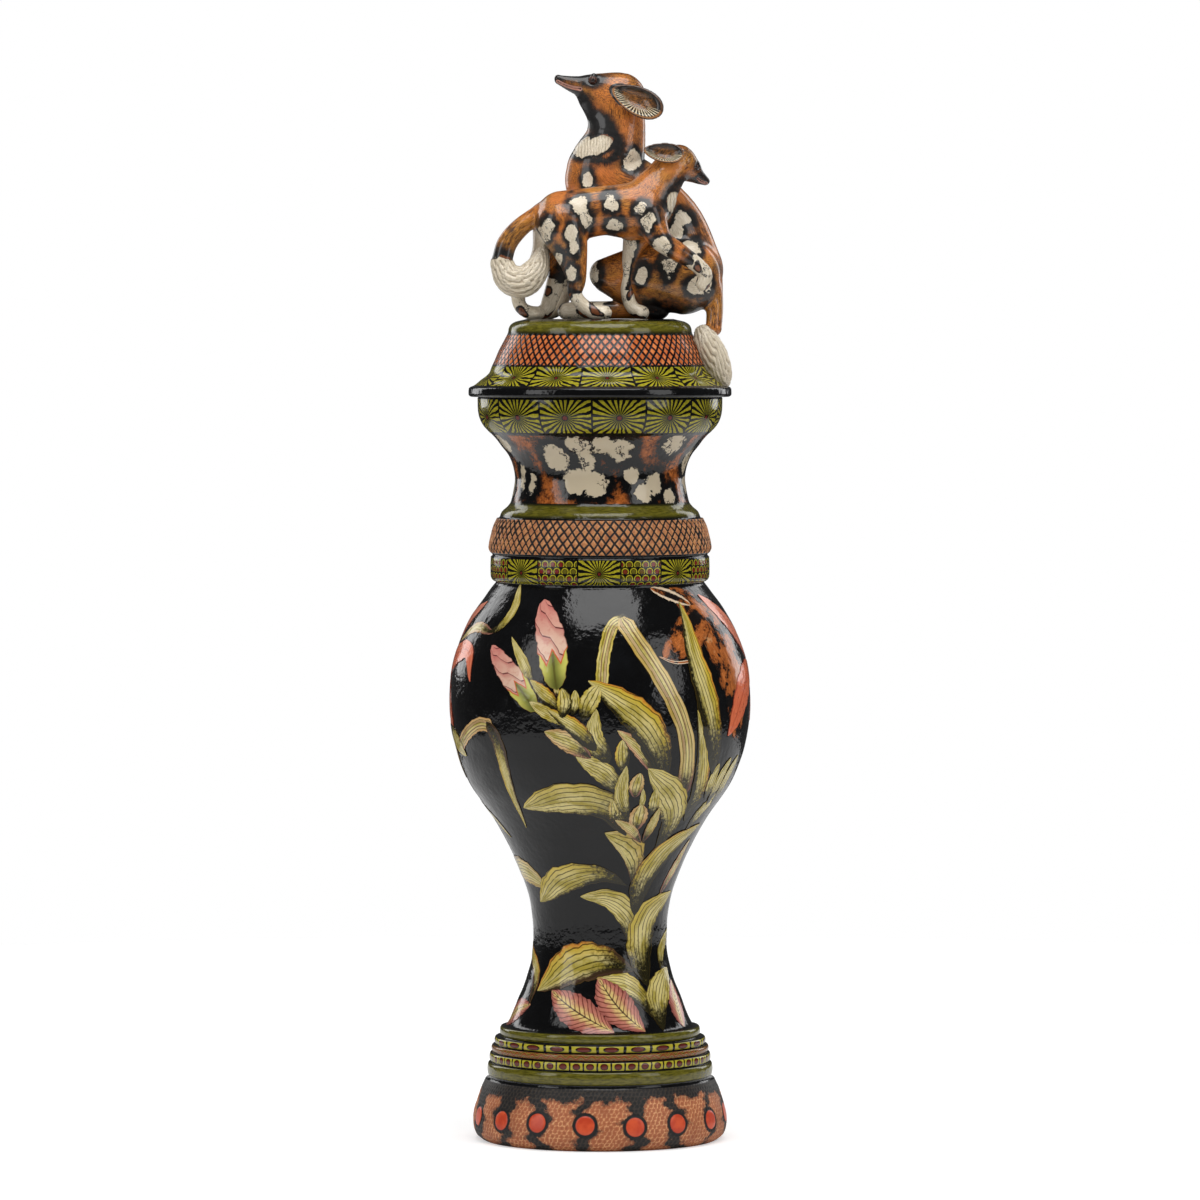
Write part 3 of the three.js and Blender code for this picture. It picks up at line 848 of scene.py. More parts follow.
def painted_shape(kind, layer, left, right, widest, line):
    """One painted shape as a thin closed skin on the belly: points, faces and (along, across) maps."""
    z = BODY_OUTLINE[:, 1]
    middle_r = float(np.interp(line[len(line) // 2][1], z, BODY_OUTLINE[:, 0]))
    spine = smooth([(math.radians(a) * middle_r, h) for a, h in line], SHAPE_STEPS + 1)
    angle, height = spine[:, 0] / middle_r, spine[:, 1]
    radius = np.interp(height, z, BODY_OUTLINE[:, 0])
    rise = np.hypot(1, np.interp(height, z, np.gradient(BODY_OUTLINE[:, 0], z)))
    tangent = np.stack([np.gradient(angle) * radius, np.gradient(height) * rise], axis=-1)
    tangent /= np.linalg.norm(tangent, axis=1, keepdims=True)
    t = np.linspace(0, 1, SHAPE_STEPS + 1)
    side = np.linspace(1, -1, SHAPE_LANES + 1)
    reach = np.where(side > 0, left, right) * side
    ragged = 1 + 0.05 * np.sin(t * 37 + line[0][0]) + 0.03 * np.sin(t * 83 + line[0][1])
    offset = shape_width(kind, widest, t)[:, None] * reach[None, :] * ragged[:, None]
    new_angle = angle[:, None] - offset * tangent[:, 1:] / radius[:, None]
    new_height = height[:, None] + offset * tangent[:, :1] / rise[:, None]
    new_height = np.clip(new_height, BODY_OUTLINE[0, 1] + 0.4, BODY_OUTLINE[-1, 1] - 0.4)
    lift = PAINT_BASE + LAYER_T * layer
    points, faces = closed_sheet(body_surface(new_angle, new_height, lift),
                                 body_surface(new_angle, new_height, lift - PAINT_T))
    grid_u, grid_v = np.meshgrid(t, (1 - side) / 2, indexing="ij")
    maps = np.tile(np.stack([grid_u.ravel(), grid_v.ravel()], axis=-1), (2, 1))
    return points, faces, maps


def lily_rows(heart_angle, heart_height, facing):
    """A lily's petals, from its heart outwards, apart from those that would reach the front."""
    rows = []
    for number, (turn, rise) in enumerate(PETALS):
        bend = (heart_angle + facing * turn * 0.55, heart_height + rise * 0.75)
        tip = (heart_angle + facing * turn, heart_height + rise)
        if abs(tip[0]) >= FRONT_EDGE:
            width = 8.5 - 1.5 * (number % 2)
            rows.append(("petal", 2 + number % 2, width, width, 0.5, 0.0, 0.4 * (number % 3),
                         [(heart_angle, heart_height), bend, tip]))
    return rows


def painted_rows():
    """Every shape of the painting: the front as listed, two lilies, and a plainer back."""
    rows = list(PLANTS)
    for lily in LILIES:
        rows += lily_rows(*lily)
    for kind, layer, left, right, widest, warm, pink, line in PLANTS:
        if kind not in ("hide", "petal") and max(abs(a) for a, _ in line) < MIRRORED_EDGE:
            mirrored = [(180 - a, h) for a, h in line]
            rows.append((kind, layer, right, left, widest, -warm, pink, mirrored))
    return rows


def make_painting(paints):
    """All the painted shapes as one piece, each kind with its own finish."""
    kinds = list(paints)
    points, faces, maps, tints, slots = [], [], [], [], []
    total = 0
    for number, (kind, layer, left, right, widest, warm, pink, line) in enumerate(painted_rows()):
        shape, quads, uv = painted_shape(kind, layer, left, right, widest, line)
        points.append(shape)
        faces += [[i + total for i in quad] for quad in quads]
        maps.append(uv)
        tint = [warm, pink, float(hashed(number, 5))]
        tints.append(np.tile(tint, (len(shape), 1)))
        slots += [kinds.index(kind)] * len(quads)
        total += len(shape)
    finishes = [paints[kind] for kind in kinds]
    painting = mesh_object("painted_plants", np.concatenate(points), faces, finishes, slots)
    loops = np.empty(len(painting.data.loops), np.int32)
    painting.data.loops.foreach_get("vertex_index", loops)
    layer = painting.data.uv_layers.new(name="shape")
    layer.data.foreach_set("uv", np.concatenate(maps)[loops].astype(np.float32).ravel())
    store_vectors(painting, "tint", np.concatenate(tints))
    painting.data.set_sharp_from_angle(angle=math.radians(50))
    return painting


LEAF_DARK, LEAF, LEAF_PALE = rgb(30, 28, 11), rgb(168, 151, 60), rgb(216, 201, 134)
LEAF_GOLD, LEAF_WARM, LEAF_PINK = rgb(204, 176, 54), rgb(206, 112, 40), rgb(206, 136, 118)


def shape_maps(paint):
    """Along and across a painted shape, its tints, and the distance from its midline."""
    u, v = paint.map("shape")
    warm, pink, seed, _ = paint.stored("tint")
    return u, v, warm, pink, seed, (v - 0.5).size() * 2


def veins(paint, u, v, seed, count, slant):
    """Fine lines that run along a shape and out to its edge, broken here and there."""
    wander = paint.noise(paint.vector(u * 2, v * 2, seed * 20), 1.2, 1.0) - 0.5
    line = ((v * count + u * slant + wander * 0.4).fract() - 0.5).size()
    broken = paint.noise(paint.vector(u * 9, v * 4, seed * 9), 2.0, 2.0)
    return line.ramp(0.35, 0.43) * broken.ramp(0.2, 0.4)


def leaf_paint(name, count, slant=0.0, striped=False):
    """A yellow-green leaf, dark at its root, with a gold and orange edge and fine brown veins."""
    paint = Paint(name)
    u, v, warm, pink, seed, off = shape_maps(paint)
    speck = paint.noise(paint.place(), 420, 4.0, 0.7) - 0.5
    broad = paint.noise(paint.vector(u * 2.5, v * 2, seed * 30), 1.6, 2.0)
    color = paint.mix((broad + speck * 0.3).ramp(0.32, 0.62), LEAF, LEAF_PALE)
    side = (v - 0.5) * 2
    gilt = (side * warm + speck * 0.6).ramp(0.1, 0.8) * 0.9
    color = paint.mix(gilt.most((off + speck * 0.6).ramp(0.6, 1.0) * 0.5), color, LEAF_GOLD)
    color = paint.mix((side * warm + speck * 0.7).ramp(0.7, 1.0) * 0.75, color, LEAF_WARM)
    reach = 0.25 if striped else 0.62
    shade = u.ramp(0.0, reach, 1.15, 0.0) + (side * warm * -1).ramp(0.1, 1.0) * 0.95
    shade = shade + off.ramp(0.6, 1.0) * 0.2 + speck * 1.6
    color = paint.mix(shade.ramp(0.25, 1.05), color, LEAF_DARK)
    color = paint.mix(pink * (off + speck * 0.5).ramp(0.2, 0.95) * 0.8, color, LEAF_PINK)
    if striped:
        for middle in (0.3, 0.62):
            color = paint.mix((v - middle).size().ramp(0.03, 0.1, 0.5, 0.0) * u.ramp(0.1, 0.3),
                              color, rgb(150, 92, 96))
    color = paint.mix(veins(paint, u, v, seed, count, slant) * 0.85, color, rgb(52, 42, 14))
    color = paint.mix(off.ramp(0.93, 1.0) * 0.8, color, rgb(74, 58, 20))
    return paint.finish(color, 0.13, glaze_waves(paint), 0.0005)


def bloom_paint():
    """A lily bud: pink overlapping petals over yellow-green sepals."""
    paint = Paint("bloom_paint")
    u, v, _, _, _, off = shape_maps(paint)
    speck = paint.noise(paint.place(), 300, 3.0, 0.6)
    color = paint.mix(u.ramp(0.3, 0.95), rgb(222, 190, 166), rgb(204, 136, 122))
    color = paint.mix((speck.ramp(0.45, 0.8)) * 0.5, color, rgb(190, 96, 92))
    zig = ((v * 2.0 + 0.5).fract() - 0.5).size()
    fold = ((u * 3.6 + (v - 0.5).sine() * 1.7 + zig * 0.5).fract() - 0.5)
    color = paint.mix(fold.ramp(0.05, 0.5) * 0.55, color, rgb(178, 88, 84))
    color = paint.mix(fold.size().ramp(0.45, 0.49), color, rgb(92, 40, 44))
    sepal = u + zig * 0.32
    green = paint.mix(off.ramp(0.0, 0.9), rgb(120, 124, 54), rgb(200, 196, 96))
    green = paint.mix(u.ramp(0.0, 0.25, 0.8, 0.0), green, rgb(70, 72, 26))
    color = paint.mix(sepal.ramp(0.42, 0.43, 1.0, 0.0), color, green)
    color = paint.mix((sepal - 0.43).size().ramp(0.008, 0.022, 1.0, 0.0), color, rgb(202, 90, 50))
    color = paint.mix((v - 0.5).size().ramp(0.03, 0.06, 0.7, 0.0) * u.ramp(0.36, 0.4, 1.0, 0.0),
                      color, rgb(86, 76, 30))
    color = paint.mix(off.ramp(0.92, 1.0) * 0.7, color, rgb(120, 50, 44))
    return paint.finish(color, 0.13, glaze_waves(paint), 0.0005)


def feather_paint():
    """A leaf with a dark midrib, slanting veins, a yellow heart and rosy edges."""
    paint = Paint("feather_paint")
    u, _, _, _, _, off = shape_maps(paint)
    speck = paint.noise(paint.place(), 360, 3.0, 0.6) - 0.5
    color = paint.mix((off + speck * 0.7).ramp(0.0, 0.6), rgb(222, 198, 122), rgb(190, 118, 100))
    color = paint.mix((off + speck * 0.4).ramp(0.6, 1.0) * 0.6, color, rgb(130, 62, 62))
    slant = ((u * 13 - off * 2.6).fract() - 0.5).size()
    color = paint.mix(slant.ramp(0.32, 0.42) * 0.85, color, rgb(96, 44, 38))
    color = paint.mix(off.ramp(0.02, 0.07, 0.9, 0.0), color, rgb(60, 30, 40))
    return paint.finish(color, 0.13, glaze_waves(paint), 0.0005)


def petal_paint():
    """A coral petal with a darker midline and dashes towards its heart."""
    paint = Paint("petal_paint")
    u, v, _, pink, seed, off = shape_maps(paint)
    speck = paint.noise(paint.vector(u * 5, v * 12, seed * 10), 2.5, 3.0, 0.6)
    color = paint.mix(speck.ramp(0.3, 0.7), rgb(206, 92, 58), rgb(226, 124, 84))
    color = paint.mix(pink * 0.8, color, rgb(222, 146, 122))
    color = paint.mix(off.ramp(0.0, 0.14, 0.5, 0.0), color, rgb(162, 56, 40))
    dashes = paint.cells(paint.vector(u * 18, v * 9, seed * 5), 1.0).ramp(0.16, 0.24, 0.8, 0.0)
    color = paint.mix(dashes * u.ramp(0.7, 0.85, 1.0, 0.0), color, rgb(96, 30, 26))
    color = paint.mix(off.ramp(0.88, 1.0) * 0.8, color, rgb(120, 40, 30))
    return paint.finish(color, 0.13, glaze_waves(paint), 0.0005)


def hide_paint():
    """Brushwork of a dog's coat, orange-brown over black; pinkness marks a cream-edged shape."""
    paint = Paint("hide_paint")
    u, v, _, pale, seed, off = shape_maps(paint)
    where = paint.place()
    strokes = paint.noise(paint.vector(u * 6, v * 20, seed * 10), 2.4, 4.0, 0.7)
    patches = paint.noise(where, 60, 4.0, 0.7) + (strokes - 0.5) * 0.3
    color = paint.mix(strokes.ramp(0.34, 0.66), rgb(120, 60, 22), rgb(200, 116, 56))
    color = paint.mix(patches.ramp(0.475, 0.55), color, rgb(18, 14, 13))
    color = paint.mix(patches.ramp(0.36, 0.3) * 0.7, color, rgb(206, 160, 110))
    cream = pale * (off + (strokes - 0.5) * 0.5).ramp(0.4, 0.6)
    color = paint.mix(cream, color, rgb(218, 196, 168))
    color = paint.mix((off + (strokes - 0.5) * 0.9).ramp(0.85, 1.0), color, BLACK)
    return paint.finish(color, 0.13, glaze_waves(paint), 0.0005)


def painting_finishes():
    return {"leaf": leaf_paint("leaf_paint", 7, 3.2),
            "blade": leaf_paint("blade_paint", 5, striped=True),
            "bud": leaf_paint("bud_paint", 4),
            "bloom": bloom_paint(),
            "feather": feather_paint(),
            "petal": petal_paint(),
            "hide": hide_paint()}


# ---------------------------------------------------------------- lid

LID_GAP = 0.3                      # between the jar's rim and the lid that rests on it


def lid_zones(paints):
    """The lid's outline from the top of its hollow, down its inside and up its outside."""
    seat = RIM_Z + LID_GAP
    black, bare = paints["black"], paints["bare"]
    hollow = smooth([[8, 531], [40, 531], [49, 530], [56, 523], [62, 508], [67, 494], [67.4, 480]], 26)
    return [
        Zone(hollow, INSIDE, paints["liner"]),
        Zone(smooth([[67.4, 480], [68.4, 478.2], [71.6, 478.2], [72.6, 480], [72.6, seat - 1],
                     [73.2, seat]], 10), COARSE, bare),
        Zone([[73.2, seat], [78, seat], [LID_R - 1.6, seat]], COARSE, black),
        Zone(smooth([[LID_R - 1.6, seat], [LID_R - 0.3, seat + 0.9], [LID_R - 0.1, 490.5],
                     [LID_R - 0.5, 493], [LID_R - 2.2, 494], [82.5, 494.6]], 12), MIDDLE, black),
        Zone(smooth([[82.5, 494.6], [80.6, 496], [78.3, 498], [75, 500.4], [72.4, 503], [71.4, 505.6],
                     [70.7, 507.4]], 16), MIDDLE, paints["flare_band"]),
        Zone(smooth([[70.7, 507.4], [69, 511], [66.2, 517.6], [62.8, 524], [60.4, 528.6]], 12), MIDDLE,
             paints["hatched_wall"]),
        Zone(smooth([[60.4, 528.6], [60.1, 529.4], [59.9, 531.4], [58.6, 534.2], [55.6, 536.2],
                     [52.6, 537]], 10), MIDDLE, paints["olive"]),
        Zone(smooth([[52.6, 537], [51.4, 538], [46, 538], [30, 538], [8, 538]], 10), COARSE, black),
    ]


def make_lid(paints):
    return turned("lid_body", lid_zones(paints), list(dict.fromkeys(paints.values())))


# ---------------------------------------------------------------- modelled clay

class Clay:
    """A block of soft clay: a grid of distances to a surface that forms are pressed together in."""

    def __init__(self, low, high, pitch):
        self.low = np.array(low, float)
        self.pitch = pitch
        self.axes = [np.arange(a, b, pitch) for a, b in zip(low, high)]
        self.field = np.full([len(a) for a in self.axes], 20.0, np.float32)

    def change(self, distance, low, high, how, blend):
        """Presses a form on (how 1) or carves it out (how -1) within the box that holds it."""
        cut = []
        for k in range(3):
            first = max(int((low[k] - blend - 2 - self.low[k]) / self.pitch), 0)
            last = min(int((high[k] + blend + 2 - self.low[k]) / self.pitch) + 2, len(self.axes[k]))
            cut.append(slice(first, last))
        cut = tuple(cut)
        grids = np.meshgrid(*(self.axes[k][cut[k]] for k in range(3)), indexing="ij", sparse=True)
        form = distance(*grids)
        old = self.field[cut]
        self.field[cut] = soft_least(old, form, blend) if how > 0 else -soft_least(-old, form, blend)

    def skin(self):
        """The clay's surface as points and four-sided faces."""
        field = self.field
        inside = field < 0
        shape = np.array(field.shape) - 1
        total = np.zeros((3, int(np.prod(shape))))
        count = np.zeros(int(np.prod(shape)))
        quads = []
        for axis in range(3):
            b, c = (axis + 1) % 3, (axis + 2) % 3
            low = [slice(None)] * 3
            high = [slice(None)] * 3
            low[axis], high[axis] = slice(None, -1), slice(1, None)
            f0, f1 = field[tuple(low)], field[tuple(high)]
            at = np.argwhere(inside[tuple(low)] != inside[tuple(high)])
            d0, d1 = f0[tuple(at.T)], f1[tuple(at.T)]
            place = at.astype(float)
            place[:, axis] += d0 / (d0 - d1)
            ring = []
            for sb, sc in ((-1, -1), (0, -1), (0, 0), (-1, 0)):
                cell = at.copy()
                cell[:, b] += sb
                cell[:, c] += sc
                flat = np.ravel_multi_index(cell.T, shape)
                count += np.bincount(flat, minlength=len(count))
                for k in range(3):
                    total[k] += np.bincount(flat, weights=place[:, k], minlength=len(count))
                ring.append(flat)
            quad = np.stack(ring, axis=-1)
            quads.append(np.where((d0 < 0)[:, None], quad, quad[:, ::-1]))
        used = np.flatnonzero(count)
        points = (total[:, used] / count[used]).T * self.pitch + self.low
        number = np.zeros(len(count), np.int64)
        number[used] = np.arange(len(used))
        return points, number[np.concatenate(quads)]


def soft_least(a, b, blend):
    """The smaller of two distances, rounded off where they are within blend of each other."""
    if blend <= 0:
        return np.minimum(a, b)
    mix = np.clip(0.5 + 0.5 * (b - a) / blend, 0, 1)
    return b + (a - b) * mix - blend * mix * (1 - mix)


class Limb:
    """A tapering form along a line of (x, y, z, radius) stations. depth is its thickness along Y
    against its radius, and role says how it is finished."""

    def __init__(self, role, stations, depth=1.0, blend=4.0):
        self.role = role
        self.depth = depth
        self.blend = blend
        self.line = smooth(stations, 5 * (len(stations) - 1) + 1)
        steps = np.linalg.norm(np.diff(self.line[:, :3], axis=0), axis=1)
        self.along = np.concatenate([[0.0], np.cumsum(steps)])

    def spans(self):
        return zip(self.line[:-1], self.line[1:], self.along[:-1], self.along[1:])

    def distance(self, x, y, z):
        best = None
        for a, b, _, _ in self.spans():
            axis = b[:3] - a[:3]
            t = ((x - a[0]) * axis[0] + (y - a[1]) * axis[1] + (z - a[2]) * axis[2]) / (axis @ axis)
            t = np.clip(t, 0, 1)
            dx, dy, dz = x - a[0] - t * axis[0], y - a[1] - t * axis[1], z - a[2] - t * axis[2]
            d = np.sqrt(dx * dx + (dy / self.depth) ** 2 + dz * dz) - (a[3] + t * (b[3] - a[3]))
            best = d if best is None else np.minimum(best, d)
        return best

    def corners(self):
        """The lowest and highest corners of the box that holds the limb."""
        middles, reach = self.line[:, :3], self.line[:, 3:]
        return (middles - reach).min(axis=0), (middles + reach).max(axis=0)

    def press(self, clay):
        clay.change(self.distance, *self.corners(), 1, self.blend)

    def flow(self, points):
        """For each point: its distance, how far along the limb it is, and its two offsets from the
        limb's line, first sideways and then in the limb's own plane."""
        best = np.full(len(points), 1e3)
        along, sideways, upright = (np.zeros(len(points)) for _ in range(3))
        for a, b, s0, s1 in self.spans():
            axis = b[:3] - a[:3]
            t = np.clip(((points - a[:3]) @ axis) / (axis @ axis), 0, 1)
            away = points - a[:3] - t[:, None] * axis
            d = np.linalg.norm(away, axis=1) - (a[3] + t * (b[3] - a[3]))
            near = d < best
            ahead = axis / np.linalg.norm(axis)
            side = np.array([0.0, 1.0, 0.0]) - ahead * ahead[1]
            side /= np.linalg.norm(side)
            best[near] = d[near]
            along[near] = (s0 + t * (s1 - s0))[near]
            sideways[near] = (away @ side)[near]
            upright[near] = (away @ np.cross(ahead, side))[near]
        return best, along, sideways, upright


class Ear:
    """A round dished ear: its middle, half length and half width, the tilt of its length in degrees,
    and the direction that its hollow faces."""

    def __init__(self, middle, length, width, tilt, face):
        self.middle = np.array(middle, float)
        self.length = length
        self.width = width
        self.face = np.array(face, float) / np.linalg.norm(face)
        along = np.array([math.cos(math.radians(tilt)), 0, math.sin(math.radians(tilt))])
        along -= self.face * (along @ self.face)
        self.along = along / np.linalg.norm(along)
        self.up = np.cross(self.face, self.along)
        if self.up[2] < 0:
            self.up = -self.up

    def local(self, x, y, z):
        dx, dy, dz = x - self.middle[0], y - self.middle[1], z - self.middle[2]
        parts = [dx * v[0] + dy * v[1] + dz * v[2] for v in (self.along, self.up, self.face)]
        widen = 1 + 0.22 * parts[0] / self.length
        cup = 0.045 * (parts[0] ** 2 * 0.35 + parts[1] ** 2)
        return parts[0], parts[1] / widen, parts[2] - np.minimum(cup, 3.0)

    def shell(self, x, y, z):
        a, b, c = self.local(x, y, z)
        q = np.sqrt((a / self.length) ** 2 + (b / self.width) ** 2 + (c / 2.6) ** 2)
        return (q - 1) * 2.6

    def hollow(self, x, y, z):
        a, b, c = self.local(x, y, z)
        across = (a / (self.length * 0.86)) ** 2 + (b / (self.width * 0.8)) ** 2
        return (np.sqrt(across + ((c - 1.9) / 2.9) ** 2) - 1) * 2.9

    def press(self, clay):
        reach = self.length + 3
        clay.change(self.shell, self.middle - reach, self.middle + reach, 1, 1.2)
        clay.change(self.hollow, self.middle - reach, self.middle + reach, -1, 0.6)

    def dish(self, points):
        """How far inside the hollow's edge each point is (1 in its middle), how far up it and how far
        round it."""
        a, b, c = self.local(*points.T)
        out = np.hypot(a / (self.length * 0.9), b / (self.width * 0.86))
        facing = (np.abs(c) < 3.4) & (c > -1.6) & (out < 1.4)
        return np.where(facing, 1 - out, -0.5), b / self.width, np.arctan2(b / self.width, a / self.length)


# ---------------------------------------------------------------- dogs

SITTING_LIMBS = [
    Limb("body", [[56, 14, 570, 24.5], [43, 14, 598, 24.8], [20, 15, 618, 25.6], [3, 15, 629, 26.2],
                  [9, 15, 652, 20.4], [12, 15, 668, 17.2], [12, 14, 682, 15.5]], 0.85, 6),
    Limb("head", [[13, 14, 682.5, 16.4], [3, 13.5, 685.5, 13.6], [-6, 13, 687.8, 9.8]], 0.8, 5),
    Limb("snout", [[-4, 13, 689, 8.6], [-17, 12, 691.5, 5.6], [-27, 11, 694.6, 3.1]], 0.85, 3),
    Limb("throat", [[-5.5, 13, 681, 8.2], [2.5, 14, 672.5, 11.6], [9, 15, 661, 13.5]], 0.85, 4),
    Limb("leg", [[-4, 3, 614, 14], [-21, -2, 592, 9], [-27, -4, 568, 6.6], [-32, -5, 552, 5.4],
                 [-36, -6, 543, 4.8], [-42, -7, 541.6, 4.4]], 1, 5),
    Limb("leg", [[-4, 25, 614, 14], [-19, 26, 590, 8.6], [-22, 24, 568, 6], [-26, 22, 550, 5],
                 [-31, 20, 543, 4.6], [-37, 19, 541.6, 4.2]], 1, 5),
    Limb("thigh", [[54, -2, 566, 25], [34, -4, 567, 21], [14, -5, 568, 13.5], [3, -5, 568, 9.5]], 0.7, 5),
    Limb("thigh", [[54, 30, 566, 24], [34, 31, 567, 20], [14, 31, 566, 13.5], [4, 31, 566, 9.5]], 0.7, 5),
    Limb("shank", [[3, -5, 566, 9], [22, -4, 552, 8.2], [38, -2, 545, 7]], 0.9, 2),
    Limb("foot", [[38, -2, 544.5, 6.5], [8, -3, 544, 5.8], [-14, -4, 543.6, 5.8],
                  [-22, -4, 543.2, 5.6]], 1, 2),
    Limb("shank", [[4, 31, 564, 9], [22, 31, 552, 8], [38, 31, 545, 7]], 0.9, 2),
    Limb("foot", [[38, 31, 544.5, 6.5], [10, 31, 544, 5.8], [-8, 30, 543.6, 5.8],
                  [-16, 30, 543.2, 5.6]], 1, 2),
    Limb("tail", [[68, 8, 572, 9], [73, 4, 560, 6.8], [75, -1, 546, 5.6], [74.5, -6, 532, 5.2]], 1, 5),
    Limb("tip", [[68, -9, 528, 6.2], [70.5, -11, 521, 8.8], [75, -11, 512, 9.2], [79, -10, 502, 7.2],
                 [81, -9.5, 497, 4.2]], 0.95, 1.5),
]
SITTING_EARS = [Ear([25, 0, 680], 19, 9.6, -28, [-0.15, -0.97, 0.2]),
                Ear([24, 26.5, 679], 15.5, 7.6, -28, [-0.1, 0.97, 0.25])]
STANDING_LIMBS = [
    Limb("body", [[-24, -20, 604, 17.5], [2, -21, 608.5, 16], [27, -21, 610, 18.5], [39, -18, 625, 13.6],
                  [47, -16, 636, 11.5], [52, -13, 640, 10.6]], 0.85, 5),
    Limb("head", [[51, -13, 640, 11.2], [58, -10, 636, 8]], 0.85, 3),
    Limb("snout", [[58, -10, 635.5, 6.6], [64, -8, 631, 4.8], [69, -6, 628, 2.8]], 0.85, 2.5),
    Limb("leg", [[-24, -28, 600, 16.5], [-17, -30, 577, 9.4], [-14.5, -30, 563, 6], [-15.5, -30, 554, 4.6],
                 [-9, -30, 546, 4.5], [-3, -31, 542.8, 4.8], [4, -31, 542.2, 4.6]], 0.9, 4),
    Limb("far_leg", [[-29, -12, 600, 14.5], [-35, -9, 581, 9.4], [-44, -8, 567, 6.2], [-53, -8, 555, 4.8],
                     [-51.5, -9, 546, 4.3], [-46, -10, 542.4, 4.5], [-40, -10, 541.9, 4.4]], 0.9, 4),
    Limb("far_leg", [[28, -13, 600, 12], [22, -12, 584, 7], [19, -12, 567, 5], [18.5, -12, 553, 4.3],
                     [22, -13, 545, 4.4], [28, -14, 542.2, 4.5]], 1, 4),
    Limb("raised", [[32, -29, 606, 11.5], [40, -33, 590, 7.6], [54, -33, 580, 6], [64, -31, 573, 5],
                    [69, -29, 567, 4.9], [67.5, -28, 561, 4.6]], 1, 4),
    Limb("tail", [[-39, -20, 607, 5.6], [-52, -22, 597, 6.2], [-60, -24, 587, 6.6],
                  [-63, -25, 577, 6.6]], 1, 4),
    Limb("tip", [[-63.5, -25, 573.5, 7], [-58, -26, 564, 9.4], [-49, -26, 562.5, 10], [-41, -24, 570, 8],
                 [-38, -22, 578, 5.2], [-36, -21, 584, 2.6]], 1, 1.5),
]
STANDING_EARS = [Ear([42, -25.5, 645.5], 13.4, 6.8, -7, [0.05, -0.95, 0.3]),
                 Ear([45, -5, 646.5], 10, 5.2, -12, [0.2, 0.9, 0.25])]
# Cream patches of the coats, seen from the side: middle (x, z), half width, half height.
SITTING_SPOTS = [(-8, 629, 3.8, 5.2), (21, 642, 5.6, 5.8), (55, 603, 6, 5), (51, 595, 5, 5),
                 (61, 585, 5.6, 5), (44.5, 571, 4.4, 6.4), (65, 560, 7.3, 6.4), (-5, 568, 5, 7.5),
                 (27.5, 566, 3.5, 5.8), (34, 545, 3.6, 3.2)]
STANDING_SPOTS = [(-13, 612, 5, 6.2), (-8, 603, 4, 5.8), (8, 613, 4.7, 5.4), (-32, 599, 5.4, 5.4),
                  (-35, 594, 3.4, 4.4), (-18, 593, 3.5, 5.6), (-16.5, 585, 3.4, 4.6), (10, 598.5, 4.8, 4.4),
                  (27.5, 609.5, 3.2, 3), (34, 605, 2.7, 4.6), (31.5, 599, 3.2, 4), (41, 585, 6, 5.4),
                  (-25.5, 578, 3.2, 5), (-18, 567, 3.4, 5)]
CLAY_PITCH = 0.85                  # spacing of the grid that the dogs are pressed in
FAR_SHIFT = (5.0, -4.0)            # how the far side's patches stand against the near side's
TIP_TURNS, TIP_WAVE = 17, 26       # ridges of hair round a tail's tip, and the length of their waves


class Dog:
    """One dog: its limbs and ears, its paws' places and headings, its head's size against the sitting
    dog's, and the marks of its coat. middle_y parts its near side from its far one, tuft is the middle
    and reach of its throat's ruff, throat follows the black under its jaw as (x, z, reach), muzzle is
    how black its snout is, and tail_marks is how far up from its tip its tail is cream and black."""

    def __init__(self, name, limbs, ears, paws, size, middle_y, spots, tuft, throat, muzzle, tail_marks):
        self.name = name
        self.limbs = limbs
        self.ears = ears
        self.paws = paws
        self.size = size
        self.middle_y = middle_y
        self.spots = spots
        self.tuft = tuft
        self.throat = throat
        self.muzzle = muzzle
        self.tail_marks = tail_marks
        self.ends = {limb.role: limb.along[-1] for limb in limbs}


SITTING = Dog("sitting_dog", SITTING_LIMBS, SITTING_EARS,
              paws=[((-37, -6, 542), (-1, -0.1, 0)), ((-31, 19.5, 542), (-1, -0.1, 0)),
                    ((-20, -4, 543), (-1, 0, 0)), ((-14, 30, 543), (-1, 0, 0))],
              size=1.0, middle_y=14, spots=SITTING_SPOTS,
              tuft=((-4.5, 3.0, 650.5), (14.0, 15.0, 7.4)),
              throat=[(-19, 688, 3.5), (-13, 682, 6), (-7, 673, 6.5), (0, 665, 8.5), (6, 657, 8.5),
                      (12, 649, 5.5), (8, 642.5, 4), (-4, 641, 3.5)],
              muzzle=1.0, tail_marks=(CLEAR, CLEAR))
STANDING = Dog("standing_dog", STANDING_LIMBS, STANDING_EARS,
               paws=[((1, -31, 542.5), (1, 0, 0)), ((-43, -10, 542.2), (1, 0, 0)),
                     ((25, -13.5, 542.4), (1, -0.1, 0))],
               size=0.72, middle_y=-19, spots=STANDING_SPOTS,
               tuft=((47.0, -22.0, 614.0), (5.0, 10.0, 7.5)),
               throat=[(64, 627, 2.5), (58, 628, 3.5), (52, 627, 4), (46, 620, 4), (43, 611, 3.5),
                       (44, 603, 3)],
               muzzle=4.0, tail_marks=(0.6, 5))


def press_bead(clay, middle, radius, how=1, blend=0.8):
    """Presses a ball on (how 1) or its hollow in (how -1)."""
    middle = np.array(middle, float)

    def distance(x, y, z):
        away = (x - middle[0]) ** 2 + (y - middle[1]) ** 2 + (z - middle[2]) ** 2
        return np.sqrt(away) - radius

    clay.change(distance, middle - radius, middle + radius, how, blend)


